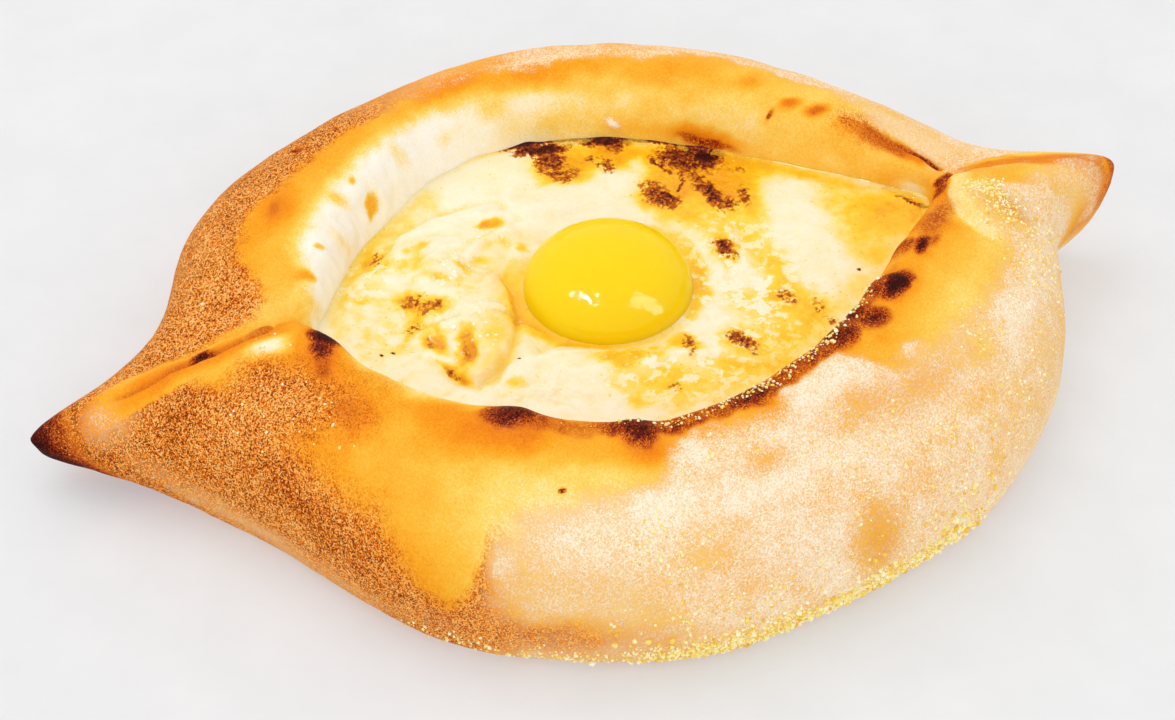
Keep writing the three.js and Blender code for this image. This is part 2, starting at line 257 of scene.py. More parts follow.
@dataclass(frozen=True)
class LoafForm:
    """The loaf's sizes and the curves round it, as its solid has them.

    What changes at the tips is given for the long tip first and then for the slim one.
    """

    body_radius: float = 95.0
    wall_height: float = 40.0
    belly_height: float = 11.0
    foot_inset: float = 5.0
    hollow_radius: float = 54.5
    hollow_floor: float = 9.0
    filling_height: float = 27.5
    filling_fall: float = 0.052
    rim_width: float = 8.5
    pit_share: float = 0.84
    long_tip: float = 180.0
    slim_tip: float = 3.8
    tip_reach: float = 9.0
    tip_foot_inset: tuple[float, float] = (30.0, 16.0)  # the flat underside stays back from the tips
    tip_belly_lift: tuple[float, float] = (2.0, 15.0)
    long_tip_drop: float = 1.5
    outer_fullness: tuple[float, float, float] = (2.25, -0.95, 0.6)  # all round, and its change at the tips
    inner_fullness: tuple[float, float] = (3.2, -1.7)  # at the near side, and its change to the far side
    outline: Rises = (
        Swell(-8, 36, 22), Swell(150, 19, 9.5), Swell(100, 26, -4.6), Swell(212, 22, -3.8),
        Swell(252, 12, -1.6), Swell(316, 17, 2.9), Swell(18, 7, 3.4),
        Point(180, (5.9, 9.4), 40.4), Point(3.8, (2.6, 3.2), 26.3),
    )  # fmt: skip
    hollow: Rises = (
        Swell(270, 60, -3), Swell(90, 60, 3.5), Swell(236, 16, -3.2), Swell(256, 9, -1.2),
        Swell(135, 12, -1.4), Point(182, (18, 18), 13), Point(5.8, (24, 20), 36),
    )  # fmt: skip
    setback: Rises = (
        Swell(90, 55, 5), Swell(270, 50, 1), Point(180, (20, 20), -4), Point(3.8, (20, 20), -5),
    )  # fmt: skip
    crest: Rises = (Swell(12, 8, -5), Swell(173, 9, -3), Swell(42, 16, 1.6), Swell(3.8, 7, -3.2))
    folds: tuple[Fold, ...] = (
        Fold(((-60, -15), (-66, -5), (-76, -1), (-98, 0.5), (-132, 0)), (2.6, 9), (-3.8, 9), 0.9, (12, 45)),
        Fold(
            ((132, 5), (114, 8), (100, 8.5), (93, 5), (90.5, -4), (94, -13), (104, -20)),
            (3.0, 14), (-1.8, 7), 0.9, (35, 16),
        ),
    )  # fmt: skip

    def near_tip(self, tip: float, angle: Array) -> Array:
        """How near each angle is to a tip, 1 at the tip itself."""
        return np.exp(-((turn_between(tip, angle) / self.tip_reach) ** 2))

    def hollow_edge(self, angle: Array) -> Array:
        """The radius of the filling's edge at each angle."""
        return self.hollow_radius + sum_round(self.hollow, angle)

    def filling_level(self, y: Array) -> Array:
        """The filling's height where it has no relief."""
        return self.filling_height - self.filling_fall * y

    def fold_rise(self, x: Array, y: Array) -> Array:
        """What all folds add to the height of the crust."""
        return sum(fold.value(x, y) for fold in self.folds)

    def wall(self, angle: Array, climb: Array) -> Array:
        """Points of the crust.

        Args:
            angle: degrees round the loaf.
            climb: 0 at the foot, 1 at the widest line, 2 at the crest and 3 at the filling.

        Returns:
            The points in millimetres, with x, y and z last.
        """
        long_tip = self.near_tip(self.long_tip, angle)
        slim_tip = self.near_tip(self.slim_tip, angle)
        cosine, sine = heading(angle)
        far = 0.5 + 0.5 * sine
        hollow = self.hollow_edge(angle)
        belly = self.body_radius + sum_round(self.outline, angle)
        inset, lift = self.tip_foot_inset, self.tip_belly_lift
        foot = belly - self.foot_inset - inset[0] * long_tip - inset[1] * slim_tip
        belly_height = self.belly_height + lift[0] * long_tip + lift[1] * slim_tip
        crest = hollow + self.rim_width + sum_round(self.setback, angle)
        crest_height = self.wall_height + sum_round(self.crest, angle) - self.long_tip_drop * long_tip
        filling = self.filling_level(hollow * sine)
        full, fuller_long, fuller_slim = self.outer_fullness

        out, up = quarter(1 - climb, np.full_like(angle, 2.0))
        under = (foot + (belly - foot) * out, belly_height * (1 - up), np.zeros_like(up))
        out, up = quarter(climb - 1, full + fuller_long * long_tip + fuller_slim * slim_tip)
        outer = (crest + (belly - crest) * out, belly_height + (crest_height - belly_height) * up, up)
        up, inward = quarter(climb - 2, self.inner_fullness[0] + self.inner_fullness[1] * far)
        inner = (crest + (hollow - crest) * inward, filling + (crest_height - filling) * up, up)

        stretches = [climb < 1, climb < 2]
        radius, height, raised = (np.select(stretches, [u, o], i) for u, o, i in zip(under, outer, inner))
        x, y = radius * cosine, radius * sine
        return np.stack([x, y, height + raised * self.fold_rise(x, y)], axis=-1)


def quarter(share: Array, fullness: Array) -> tuple[Array, Array]:
    """A quarter round of a given fullness: 2 is an ellipse, 1 a straight line, more is squarer."""
    at = np.pi / 2 * np.clip(share, 0, 1)
    return np.cos(at) ** (2 / fullness), np.sin(at) ** (2 / fullness)


# ---- Turned surfaces ----------------------------------------------------------------------------------


def put(name: str, data: Any) -> bpy.types.Object:
    """Puts a mesh, light or camera into the scene as an object."""
    thing = bpy.data.objects.new(name, data)
    bpy.context.scene.collection.objects.link(thing)
    return thing


@dataclass
class TurnedGrid:
    """A closed surface turned round the plan's middle.

    Its rings run from pole to pole, or round a section that closes on itself, as a ring's does.
    """

    steps: int
    rings: int
    hollow: bool = False

    def angles(self, crowding: float = 0.0) -> Array:
        """The steps' angles in degrees, crowded towards the two tips."""
        even = 2 * np.pi * np.arange(self.steps) / self.steps
        return np.degrees(even - crowding / 2 * np.sin(2 * even))

    def piece(
        self,
        name: str,
        points: Array,
        channels: dict[str, Array],
        offset: Vector,
        material: bpy.types.Material,
    ) -> bpy.types.Object:
        """Sets a grid's vertices at their points, closes it where they meet and dresses it.

        Args:
            name: the piece's name.
            points: where each step and ring stands, in millimetres on the plan.
            channels: values for each step and ring, which the material reads as attributes.
            offset: from the plan's middle to the part's frame, in millimetres.
            material: its finish.

        Returns:
            The piece, in metres in the part's frame.
        """
        rows = self.rings if self.hollow else self.rings - 1
        form = bmesh.new()
        bmesh.ops.create_grid(form, x_segments=self.steps, y_segments=rows, size=1.0)
        flat = np.array([vertex.co for vertex in form.verts])
        step = np.rint((flat[:, 0] + 1) / 2 * self.steps).astype(int) % self.steps
        ring = np.rint((flat[:, 1] + 1) / 2 * rows).astype(int) % self.rings
        placed = (points[step, ring] + np.array(offset)) * MM
        layers = [form.verts.layers.float.new(channel) for channel in channels]
        painted = [values[step, ring].tolist() for values in channels.values()]
        for vertex, place, *values in zip(form.verts, placed.tolist(), *painted):
            vertex.co = place
            for layer, value in zip(layers, values):
                vertex[layer] = value
        bmesh.ops.remove_doubles(form, verts=form.verts[:], dist=1e-7)
        bmesh.ops.recalc_face_normals(form, faces=form.faces[:])
        for face in form.faces:
            face.smooth = True
        mesh = bpy.data.meshes.new(name)
        form.to_mesh(mesh)
        form.free()
        mesh.materials.append(material)
        return put(name, mesh)


def blurred(values: Array, reach: int) -> Array:
    """A field on a turned grid, averaged over a reach of steps and rings."""
    for axis, edge in ((0, "wrap"), (1, "edge")):
        margin = [(0, 0), (0, 0)]
        margin[axis] = (reach, reach)
        wide = np.pad(values, margin, mode=edge)
        count = values.shape[axis]
        shifted = (np.take(wide, range(i, i + count), axis) for i in range(2 * reach + 1))
        values = sum(shifted) / (2 * reach + 1)
    return values


def grid_normals(points: Array) -> Array:
    """Outward normals of a grid of points that closes round its first axis."""
    round_it = np.roll(points, -1, axis=0) - np.roll(points, 1, axis=0)
    up_it = np.gradient(points, axis=1)
    normals = np.cross(round_it, up_it)
    return normals / np.maximum(np.linalg.norm(normals, axis=-1, keepdims=True), 1e-9)


# ---- Painting -----------------------------------------------------------------------------------------


@dataclass(frozen=True)
class Patch:
    """A soft patch of paint.

    On the plan, x and y and the half sizes are millimetres. On the wall, x is the angle in degrees and y the
    millimetres down from the crest, and the half sizes are millimetres along the wall and down it.
    """

    x: float
    y: float
    half: tuple[float, float]
    value: float = 1.0
    soft: float = 0.9  # how much of its half size its edge takes to fade
    turned: float = 0.0  # degrees

    def spread(self, factor: float) -> "Patch":
        """The same patch with larger half sizes."""
        return replace(self, half=(self.half[0] * factor, self.half[1] * factor))

    def cover(self, side: Side, x: Array, y: Array) -> Array:
        """How much the patch covers each point, 0 to 1."""
        across = turn_between(self.x, x) * WALL_DEGREE if side is Side.WALL else x - self.x
        down = y - self.y
        cosine, sine = heading(self.turned)
        u = (across * cosine + down * sine) / self.half[0]
        v = (down * cosine - across * sine) / self.half[1]
        return smooth(1 + self.soft, 1 - self.soft, np.hypot(u, v))


def patches(*rows: tuple[float, ...]) -> tuple[Patch, ...]:
    """Makes patches from rows of numbers.

    Args:
        *rows: x, y and the two half sizes, then the value, the softness and the turn where they aren't usual.

    Returns:
        The patches in the same order.
    """
    return tuple(Patch(x, y, (along, down), *rest) for x, y, along, down, *rest in rows)


@dataclass(frozen=True)
class Stroke:
    """A soft line of paint on the plan.

    It reaches so far on the left and the right of its line, seen along it, fades over so much more on each
    side, and thins out over its two ends. All are millimetres.
    """

    line: Line
    reach: tuple[float, float]
    fade: tuple[float, float]
    value: float = 1.0
    ends: tuple[float, float] = (4.0, 4.0)

    def cover(self, x: Array, y: Array) -> Array:
        """How much the stroke covers each point, 0 to 1."""
        away, before, whole = from_line(self.line, x, y)
        left = smooth(self.reach[0] + self.fade[0], self.reach[0], -away)
        right = smooth(self.reach[1] + self.fade[1], self.reach[1], away)
        beside = np.where(away < 0, left, right)
        return beside * smooth(0, self.ends[0], before) * smooth(0, self.ends[1], whole - before)


def stroke_to(field_: Array, strokes: Sequence[Stroke], x: Array, y: Array, open_to: Array) -> Array:
    """Lays strokes over a field one after another, where the skin is open to them."""
    for stroke in strokes:
        field_ = toward(field_, stroke.value, stroke.cover(x, y) * open_to)
    return field_


def paint_to(field_: Array, patches: Sequence[Patch], side: Side, x: Array, y: Array) -> Array:
    """Lays patches over a field one after another, each pulling it to its value where it covers."""
    for patch in patches:
        field_ = toward(field_, patch.value, patch.cover(side, x, y))
    return field_


def paint_over(field_: Array, patches: Sequence[Patch], side: Side, x: Array, y: Array) -> Array:
    """Raises a field to the patches' values where they cover, and never lowers it."""
    for patch in patches:
        field_ = np.maximum(field_, patch.value * patch.cover(side, x, y))
    return field_


# ---- Materials ----------------------------------------------------------------------------------------


def add_node(
    material: bpy.types.Material, kind: str, settings: dict[str, Any], **links: Any
) -> bpy.types.Node:
    """Adds a node with its settings and what feeds it.

    Args:
        material: the material that gets the node.
        kind: the node's type.
        settings: properties and input values by name; a name with no such property is an input.
        **links: output sockets by input name, with spaces written as underscores.

    Returns:
        The new node.
    """
    node = material.node_tree.nodes.new(kind)
    for name, value in settings.items():
        if name.isidentifier() and name.islower() and hasattr(node, name):
            setattr(node, name, value)
        else:
            node.inputs[name].default_value = value
    for name, socket in links.items():
        material.node_tree.links.new(socket, node.inputs[name.replace("_", " ")])
    return node


def new_material(name: str) -> bpy.types.Material:
    """A material with an empty tree."""
    material = bpy.data.materials.new(name)
    material.use_nodes = True
    material.node_tree.nodes.clear()
    return material


def finish_surface(material: bpy.types.Material, settings: dict[str, Any], **links: Any) -> None:
    """Adds the Principled surface and the output."""
    surface = add_node(material, "ShaderNodeBsdfPrincipled", settings, **links)
    add_node(material, "ShaderNodeOutputMaterial", {}, Surface=surface.outputs[0])


class Mixer:
    """Short ways to write the arithmetic of one material's tree."""

    def __init__(self, material: bpy.types.Material) -> None:
        """Starts with the material's Object coordinates."""
        self.material = material
        self.place = add_node(material, "ShaderNodeTexCoord", {}).outputs["Object"]

    def feed(self, socket: Any, value: Any) -> None:
        """Gives an input a number, a hex colour or what another socket puts out."""
        if isinstance(value, str):
            socket.default_value = linear(value)
        elif isinstance(value, (int, float)):
            socket.default_value = value
        else:
            self.material.node_tree.links.new(value, socket)

    def maths(self, operation: str, first: Any, second: Any = 0.0, third: Any = 0.0) -> Any:
        """One Math node."""
        node = add_node(self.material, "ShaderNodeMath", {"operation": operation})
        for socket, value in zip(node.inputs, (first, second, third)):
            self.feed(socket, value)
        return node.outputs[0]

    def product(self, first: Any, second: Any) -> Any:
        """The product of two values."""
        return self.maths("MULTIPLY", first, second)

    def channel(self, name: str) -> Any:
        """A painted attribute."""
        return add_node(self.material, "ShaderNodeAttribute", {"attribute_name": name}).outputs["Fac"]

    def grain(self, size: float, detail: float = 2.0, roughness: float = 0.5, distortion: float = 0.0) -> Any:
        """Noise from 0 to 1 whose lumps have a size in millimetres."""
        settings = {"Scale": 1 / (size * MM), "Detail": detail, "Roughness": roughness}
        settings["Distortion"] = distortion
        return add_node(self.material, "ShaderNodeTexNoise", settings, Vector=self.place).outputs[0]

    def cells(self, size: float) -> bpy.types.Node:
        """Cells of a size in millimetres."""
        return add_node(self.material, "ShaderNodeTexVoronoi", {"Scale": 1 / (size * MM)}, Vector=self.place)

    def centred(self, pattern: Any) -> Any:
        """Moves a pattern of 0 to 1 so that it runs from minus a half to a half."""
        return self.maths("SUBTRACT", pattern, 0.5)

    def sum_of(self, first: Any, *parts: tuple[Any, Any]) -> Any:
        """The first value and each further one times its share."""
        for value, share in parts:
            first = self.maths("MULTIPLY_ADD", value, share, first)
        return first

    def step(self, value: Any, low: float, high: float) -> Any:
        """A soft step from 0 at low to 1 at high."""
        settings = {"interpolation_type": "SMOOTHSTEP", "From Min": low, "From Max": high}
        return add_node(self.material, "ShaderNodeMapRange", settings, Value=value).outputs[0]

    def frayed(self, painted: Any, low: float, high: float, *parts: tuple[Any, Any]) -> Any:
        """A painted channel that shares of patterns fray, the more so from low up to high."""
        fray = self.product(self.sum_of(0.0, *parts), self.step(painted, low, high))
        return self.maths("ADD", painted, fray)

    def speckle(self, size: float, cell_size: float) -> Any:
        """Fine noise mixed with fine cells, centred on 0."""
        cells = self.product(self.cells(cell_size).outputs["Color"], 0.5)
        return self.centred(self.maths("MULTIPLY_ADD", self.grain(size, 2.0, 0.7), 0.5, cells))

    def scale(self, value: Any, low: float, high: float) -> Any:
        """Turns 0 to 1 into low to high."""
        settings = {"To Min": low, "To Max": high}
        return add_node(self.material, "ShaderNodeMapRange", settings, Value=value).outputs[0]

    def ramp(self, value: Any, stops: Stops) -> Any:
        """A colour ramp."""
        node = add_node(self.material, "ShaderNodeValToRGB", {}, Fac=value)
        elements = node.color_ramp.elements
        elements[0].position, elements[1].position = stops[0][0], stops[-1][0]
        elements[0].color, elements[1].color = linear(stops[0][1]), linear(stops[-1][1])
        for place, code in stops[1:-1]:
            elements.new(place).color = linear(code)
        return node.outputs[0]

    def blend(self, share: Any, first: Any, second: Any) -> Any:
        """Mixes a share of a second colour into a first one, each a socket or a hex code."""
        node = add_node(self.material, "ShaderNodeMix", {"data_type": "RGBA"})
        for index, value in ((0, share), (6, first), (7, second)):  # the inputs of a colour mix
            self.feed(node.inputs[index], value)
        return node.outputs[2]

    def bump(self, height: Any, depth: float) -> Any:
        """A bump whose height of 1 stands for a depth in millimetres."""
        settings = {"Strength": 1.0, "Distance": depth * MM}
        return add_node(self.material, "ShaderNodeBump", settings, Height=height).outputs[0]


# ---- Crust --------------------------------------------------------------------------------------------


@dataclass(frozen=True)
class BakedCrust:
    """Wheat crust, baked on a hot stone: cream where the filling kept it damp, else golden to scorched."""

    bake: Stops = (
        (0, "FFFCF2"), (0.1, "FFF2CE"), (0.24, "FED86A"), (0.36, "FCC040"), (0.5, "FAA51E"),
        (0.62, "F28812"), (0.74, "D8660E"), (0.86, "A64010"), (1, "6E240C"),
    )  # fmt: skip
    sand: Stops = (
        (0, "FFC878"), (0.2, "FDB052"), (0.38, "F9962C"), (0.54, "F07E18"), (0.68, "D8640E"),
        (0.84, "A8420A"), (1, "762A06"),
    )  # fmt: skip
    flour: Stops = (
        (0, "CE7630"), (0.22, "EAA05A"), (0.42, "F7C286"), (0.62, "FAD2A0"), (0.82, "FCE2BC"),
        (1, "FEF3DE"),
    )  # fmt: skip
    scorch: Stops = (
        (0.05, "EE9024"), (0.25, "D66A14"), (0.42, "AE4410"), (0.58, "7E260C"), (0.78, "4C1208"),
        (1, "2C0806"),
    )  # fmt: skip
    sand_size: float = 0.29  # the sandy grains of the crust are finer, and are drawn this coarse to show
    pore_size: float = 1.6
    mottle_size: float = 3.4
    cloud_size: float = 12.0

    def material(self) -> bpy.types.Material:
        """Golden crust: satin where it browned, dull and sandy where it lay floured against the heat."""
        material = new_material("baked_wheat_crust")
        mix = Mixer(material)
        bake, flour, grit, scorch = (mix.channel(name) for name in ("bake", "flour", "grit", "scorch"))
        cloud = mix.centred(mix.grain(self.cloud_size, 3.0, 0.55))
        mottle = mix.centred(mix.grain(self.mottle_size, 4.0, 0.65))
        sand = mix.speckle(self.sand_size, self.sand_size * 1.1)

        # Browning: the painted tone, clouded, with a fine grain all over.
        tone = mix.sum_of(bake, (cloud, 0.14), (mottle, 0.10), (sand, 0.22))
        colour = mix.ramp(tone, self.bake)

        # Sand: where the dough lay dusted on the board, light and dark grains cover the browning.
        coarse = mix.product(sand, mix.scale(mix.step(grit, 0.1, 0.9), 1.2, 3.1))
        shade = mix.sum_of(coarse, (bake, 0.9), (cloud, 0.30), (mottle, 0.40))
        sandy = mix.step(mix.frayed(grit, 0.0, 0.3, (mottle, 0.5), (sand, 0.6)), 0.05, 0.75)
        colour = mix.blend(sandy, colour, mix.ramp(shade, self.sand))

        # Flour: a thin dust that shows the crust through its own grain.
        cover = mix.step(mix.frayed(flour, 0.0, 0.2, (cloud, 0.5), (mottle, 0.6), (sand, 1.0)), 0.05, 0.70)
        powder = mix.ramp(mix.sum_of(flour, (cloud, 0.6), (mottle, 0.45), (sand, 1.6)), self.flour)
        colour = mix.blend(mix.product(cover, 0.96), colour, powder)

        # Scorching: soft and brown at its edge, dark and speckled in its middle.
        burn = mix.frayed(scorch, 0.12, 0.55, (mottle, 0.6), (sand, 1.3))
        colour = mix.blend(mix.step(burn, 0.04, 0.34), colour, mix.ramp(burn, self.scorch))

        rough = mix.maths("MINIMUM", mix.sum_of(0.46, (sandy, 0.25), (cover, 0.40)), 0.92)
        pores = mix.step(mix.cells(self.pore_size).outputs["Distance"], 0.0, 0.45)
        rise = mix.maths("MULTIPLY_ADD", sandy, 1.0, 0.4)
        height = mix.sum_of(0.5, (pores, 0.25), (sand, rise), (mottle, 0.7))
        settings = {
            "IOR": 1.45,
            "Specular IOR Level": 0.06,
            "Subsurface Weight": 0.08,
            "Subsurface Radius": (0.004, 0.0018, 0.0006),
            "Subsurface Scale": 1.0,
        }
        finish_surface(material, settings, Base_Color=colour, Roughness=rough, Normal=mix.bump(height, 0.28))
        return material


@dataclass
class Crust:
    """The loaf's whole skin, from its underside over the wall into the hollow."""

    form: LoafForm
    offset: Vector
    finish: BakedCrust = field(default_factory=BakedCrust)
    skin: tuple[Array, Array, Array] = field(init=False)  # points, angles and depths below the crest
    steps: int = 560
    floor_rings: int = 5
    under_rings: int = 10
    outer_rings: int = 100
    inner_rings: int = 46
    arc_samples: int = 160  # how finely a stretch of the section is measured before its rings are spaced
    crowding: float = 0.55
    lip: tuple[float, float] = (-2.5, 4.5)  # how far below the crest its bulges lie, and their width
    bulges: Rises = (
        Swell(192, 4, 1.2), Swell(200, 3, -0.5), Swell(238, 6, 2.5), Swell(252, 5, -1.3),
        Swell(265, 4.5, 2.3), Swell(273, 3, -0.8), Swell(283, 5, 0.7), Swell(293, 4, 1.3),
        Swell(301, 3, -0.7), Swell(309, 5, 0.6), Swell(316, 2, -0.6), Swell(321, 4, 0.8),
        Swell(326, 1.5, -0.6), Swell(329, 2.5, 1.0), Swell(336, 3, 1.5), Swell(341, 2, -0.7),
        Swell(347, 2.5, 1.1),
    )  # fmt: skip
    # The strands that hang inside the damp wall: where they are, by the angle, and their width and length.
    strands: Band = (100, 140, 178, 185)
    strand_size: tuple[float, float] = (3.2, 9.0)
    # The side that lay in gritty meal, by the angle: where it begins and where it ends.
    gritty_from: tuple[float, float] = (98, 130)
    gritty_to: tuple[float, float] = (236, 250)
    char_band: Band = (-9.5, -6.0, -3.0, 0.5)  # where the inner edge is charred, by millimetres down
    char_tone: float = 0.84

    # Curves round the loaf, as (angle, value). Where the skin turns from damp to golden and where flour or
    # grit begins are millimetres down the outside from the crest; inside it is negative.
    damp_edge: Curve = (
        (4, -14), (30, -14), (36, -5), (45, -4), (55, -7.5), (75, -7), (90, -6.5), (105, -5), (120, -3),
        (135, -0.5), (150, 1), (162, 2), (168, -1), (176, -2), (183, -8), (190, -8), (196, -4), (206, -5),
        (214, -3), (222, -4), (230, -5), (236, -9), (345, -9), (352, -10),
    )  # fmt: skip
    dusted_edge: Curve = (
        (0, 60), (5, 60), (8, 4), (13, 5), (20, 8), (35, 9), (45, 8.5), (53, 8), (60, 6), (64, 2.5),
        (75, 1.5), (80, 0.5), (88, -1), (95, 0), (101, 3), (108, 1.5), (113, 2.5), (122, 3.5), (127, 8),
        (134, 10), (141, 12), (147, 13), (155, 18), (165, 17), (170, 11), (173, 9), (176, 14), (180, 60),
        (184, 60), (186, 24), (200, 20), (207, 24), (216, 27), (222, 29), (227, 36), (232, 44), (236, 48),
        (238.5, 42), (240, 28), (248, 24), (255, 17), (262, 14), (268, 11), (270, 5), (276, 1), (282, 0),
        (290, 3), (296, 3), (298, 0), (302, -1), (314, -1), (316.5, 12), (321, 14), (327, 17), (331, 18),
        (336, 20), (341, 25), (347, 24), (350, 19), (353, 13), (358, 4), (360, 60),
    )  # fmt: skip
    edge_softness: Curve = (
        (10, 2), (60, 2), (120, 3), (140, 5), (170, 4), (186, 9), (225, 13), (236, 8), (250, 10), (262, 9),
        (275, 6), (312, 4), (318, 6), (345, 8), (356, 3),
    )  # fmt: skip
    damp_tone: Curve = (
        (5, 0.3), (20, 0.26), (33, 0.25), (50, 0.2), (70, 0.15), (84, 0.13), (100, 0.08), (115, 0),
        (178, 0), (200, 0.14), (231, 0.1), (236, 0.52), (298, 0.52), (303, 0.3), (342, 0.34), (350, 0.5),
    )  # fmt: skip
    crest_tone: Curve = (
        (5, 0.4), (20, 0.3), (35, 0.31), (55, 0.42), (80, 0.48), (100, 0.5), (120, 0.45), (140, 0.42),
        (160, 0.38), (172, 0.38), (178, 0.46), (190, 0.46), (205, 0.52), (218, 0.46), (235, 0.48),
        (250, 0.43), (265, 0.42), (290, 0.46), (318, 0.44), (335, 0.42), (345, 0.44), (352, 0.5),
        (358, 0.56),
    )  # fmt: skip
    outer_tone: Curve = (
        (20, 0.3), (40, 0.42), (60, 0.5), (110, 0.5), (140, 0.52), (160, 0.5), (175, 0.4), (186, 0.44),
        (195, 0.53), (210, 0.52), (222, 0.43), (235, 0.35), (245, 0.27), (260, 0.26), (270, 0.34),
        (300, 0.42), (318, 0.34), (325, 0.3), (335, 0.26), (345, 0.3), (358, 0.28),
    )  # fmt: skip
    # How charred the near wall's inner edge is.
    char: Curve = (
        (228, 0), (232, 0.4), (235, 0.74), (240, 0.74), (243, 0.44), (247, 0.24), (257, 0.26), (261, 0.6),
        (264, 0.74), (267, 0.72), (270, 0.42), (276, 0.44), (281, 0.38), (286, 0.44), (291, 0.64),
        (295, 0.58), (299, 0.4), (306, 0.42), (315, 0.46), (319, 0.62), (323, 0.5), (328, 0.6),
        (331, 0.26), (334, 0.5), (339, 0.25), (343, 0.1), (346.5, 0.45), (349, 0.1), (356, 0.06),
        (362, 0.1), (366, 0),
    )  # fmt: skip

    def build(self) -> bpy.types.Object:
        """Builds and dresses the crust.

        Returns:
            The piece.
        """
        rings = self.floor_rings + 1 + self.under_rings + self.outer_rings + self.inner_rings + 3
        grid = TurnedGrid(self.steps, rings)
        angle = grid.angles(self.crowding)
        points, down = self.sections(angle)
        turned = np.repeat(angle[:, None], rings, axis=1)
        points = self.relief(points, turned, down)
        self.skin = (points, turned, down)
        return grid.piece("crust", points, self.paint(*self.skin), self.offset, self.finish.material())

    def sections(self, angle: Array) -> tuple[Array, Array]:
        """Spaces the rings evenly along each section.

        Args:
            angle: the steps' angles in degrees.

        Returns:
            The points by step and ring, and how far down from the crest each lies, inside negative.
        """
        parts, arcs = [], []
        for start, count in enumerate((self.under_rings, self.outer_rings, self.inner_rings)):
            climb = np.linspace(start, start + 1, self.arc_samples + 1)
            dense = self.form.wall(*np.meshgrid(angle, climb, indexing="ij"))
            arc = np.zeros(dense.shape[:2])
            arc[:, 1:] = np.cumsum(np.linalg.norm(np.diff(dense, axis=1), axis=-1), axis=1)
            shares = np.linspace(0, 1, count + 1)[(0 if start == 0 else 1) :]
            part = np.empty((len(angle), len(shares), 3))
            for i, (line, run) in enumerate(zip(dense, arc)):
                for axis in range(3):
                    part[i, :, axis] = np.interp(shares * run[-1], run, line[:, axis])
            parts.append(part)
            arcs.append((arc[:, -1:], shares[None, :] * arc[:, -1:]))
        outside = arcs[0][0] + arcs[1][0]
        downs = [outside - arcs[0][1], arcs[1][0] - arcs[1][1], -arcs[2][1]]
        foot = parts[0][:, 0]
        below = [foot * (share, share, 0) for share in np.linspace(0, 1, self.floor_rings + 1)[:-1]]
        edge = parts[2][:, -1]
        pit = edge * (self.form.pit_share, self.form.pit_share, 0) + (0, 0, self.form.hollow_floor)
        inside = [pit, pit * (0.5, 0.5, 1), pit * (0, 0, 1)]
        points = np.concatenate([np.stack(below, 1), *parts, np.stack(inside, 1)], axis=1)
        down = np.concatenate(
            [np.repeat(outside, self.floor_rings, 1), *downs, np.repeat(downs[2][:, -1:], 3, 1)], axis=1
        )
        return points, down

    def relief(self, points: Array, angle: Array, down: Array) -> Array:
        """Gives the skin the unevenness of hand-rolled dough and the bulges of its scorched rim."""
        height = noises(points, (0.55, 24.0, 1), (0.3, 11.0, 2), (0.1, 4.0, 3))
        lip = np.exp(-(((down - self.lip[0]) / self.lip[1]) ** 2))
        height += lip * sum_round(self.bulges, angle)
        for dent in CRUST_DENTS:
            height += dent.value * dent.cover(Side.WALL, angle, down)
        upper = points[..., 2] > CREASES_FROM
        for crease in CRUST_CREASES:
            height += crease.value * crease.cover(points[..., 0], points[..., 1]) * upper

        # The damp inside of the wall hangs in soft strands that run down to the filling.
        across, along = self.strand_size
        strand = np.stack([angle * WALL_DEGREE / across, down / along, np.zeros_like(down)], -1)
        damp = smooth(-2, -8, down) * within(self.strands, angle)
        height += damp * (0.8 * noise_at(strand, 1.0, 4) + 0.4 * noise_at(points, 5.5, 5))

        # The skin keeps its place where it meets the board and the filling.
        last = down[:, -4:-3]
        seen = smooth(0.0, 3.0, points[..., 2]) * np.where(down < 0, smooth(0.3, 3.5, down - last), 1.0)
        seen[:, : self.floor_rings + 1] = 0
        seen[:, -3:] = 0
        return points + grid_normals(points) * (height * seen)[..., None]

    def paint(self, points: Array, angle: Array, down: Array) -> dict[str, Array]:
        """Says how far each place is baked, floured, gritty and scorched, with painted shade in the long
        crease and where the far wall meets the filling, and a painted highlight on the roll at the long tip.

        Args:
            points: the skin's points in millimetres.
            angle: their angles in degrees.
            down: how far down from the crest they lie, inside negative.

        Returns:
            The channels by name.
        """
        ragged = noises(points, (1.5, 6.0, 11), (0.9, 2.6, 12))
        wobble = 1.5 * noise_at(points, 12.0, 13)
        around, across = angle + (wobble + ragged * 0.4) / WALL_DEGREE, down + ragged * 0.8

        damp = along_curve(self.damp_edge, around)
        dusted = along_curve(self.dusted_edge, angle)
        soft = along_curve(self.edge_softness, angle)
        patchy = noises(points, (5, 14.0, 20), (3, 6.0, 21))
        sandy = smooth(*self.gritty_from, angle + patchy) * smooth(*reversed(self.gritty_to), angle)

        bake = along_curve(self.damp_tone, around)
        bake = toward(bake, along_curve(self.crest_tone, around), smooth(damp - 4.5, damp + 4.5, across))
        bake = toward(bake, along_curve(self.outer_tone, around), smooth(3, 17, across))
        bake = bake * (1 + noises(points, (0.10, 16.0, 14), (0.12, 7.0, 19)))
        dusting = smooth(-soft, soft, down + ragged * np.minimum(1.2, soft * 0.6) - dusted)
        grit = sandy * dusting
        flour = (1 - sandy) * dusting * (0.72 + noises(points, (0.14, 9.0, 15), (0.10, 4.5, 16)))
        bake = toward(bake, 0.50 + 0.09 * noise_at(points, 8.0, 17), grit)

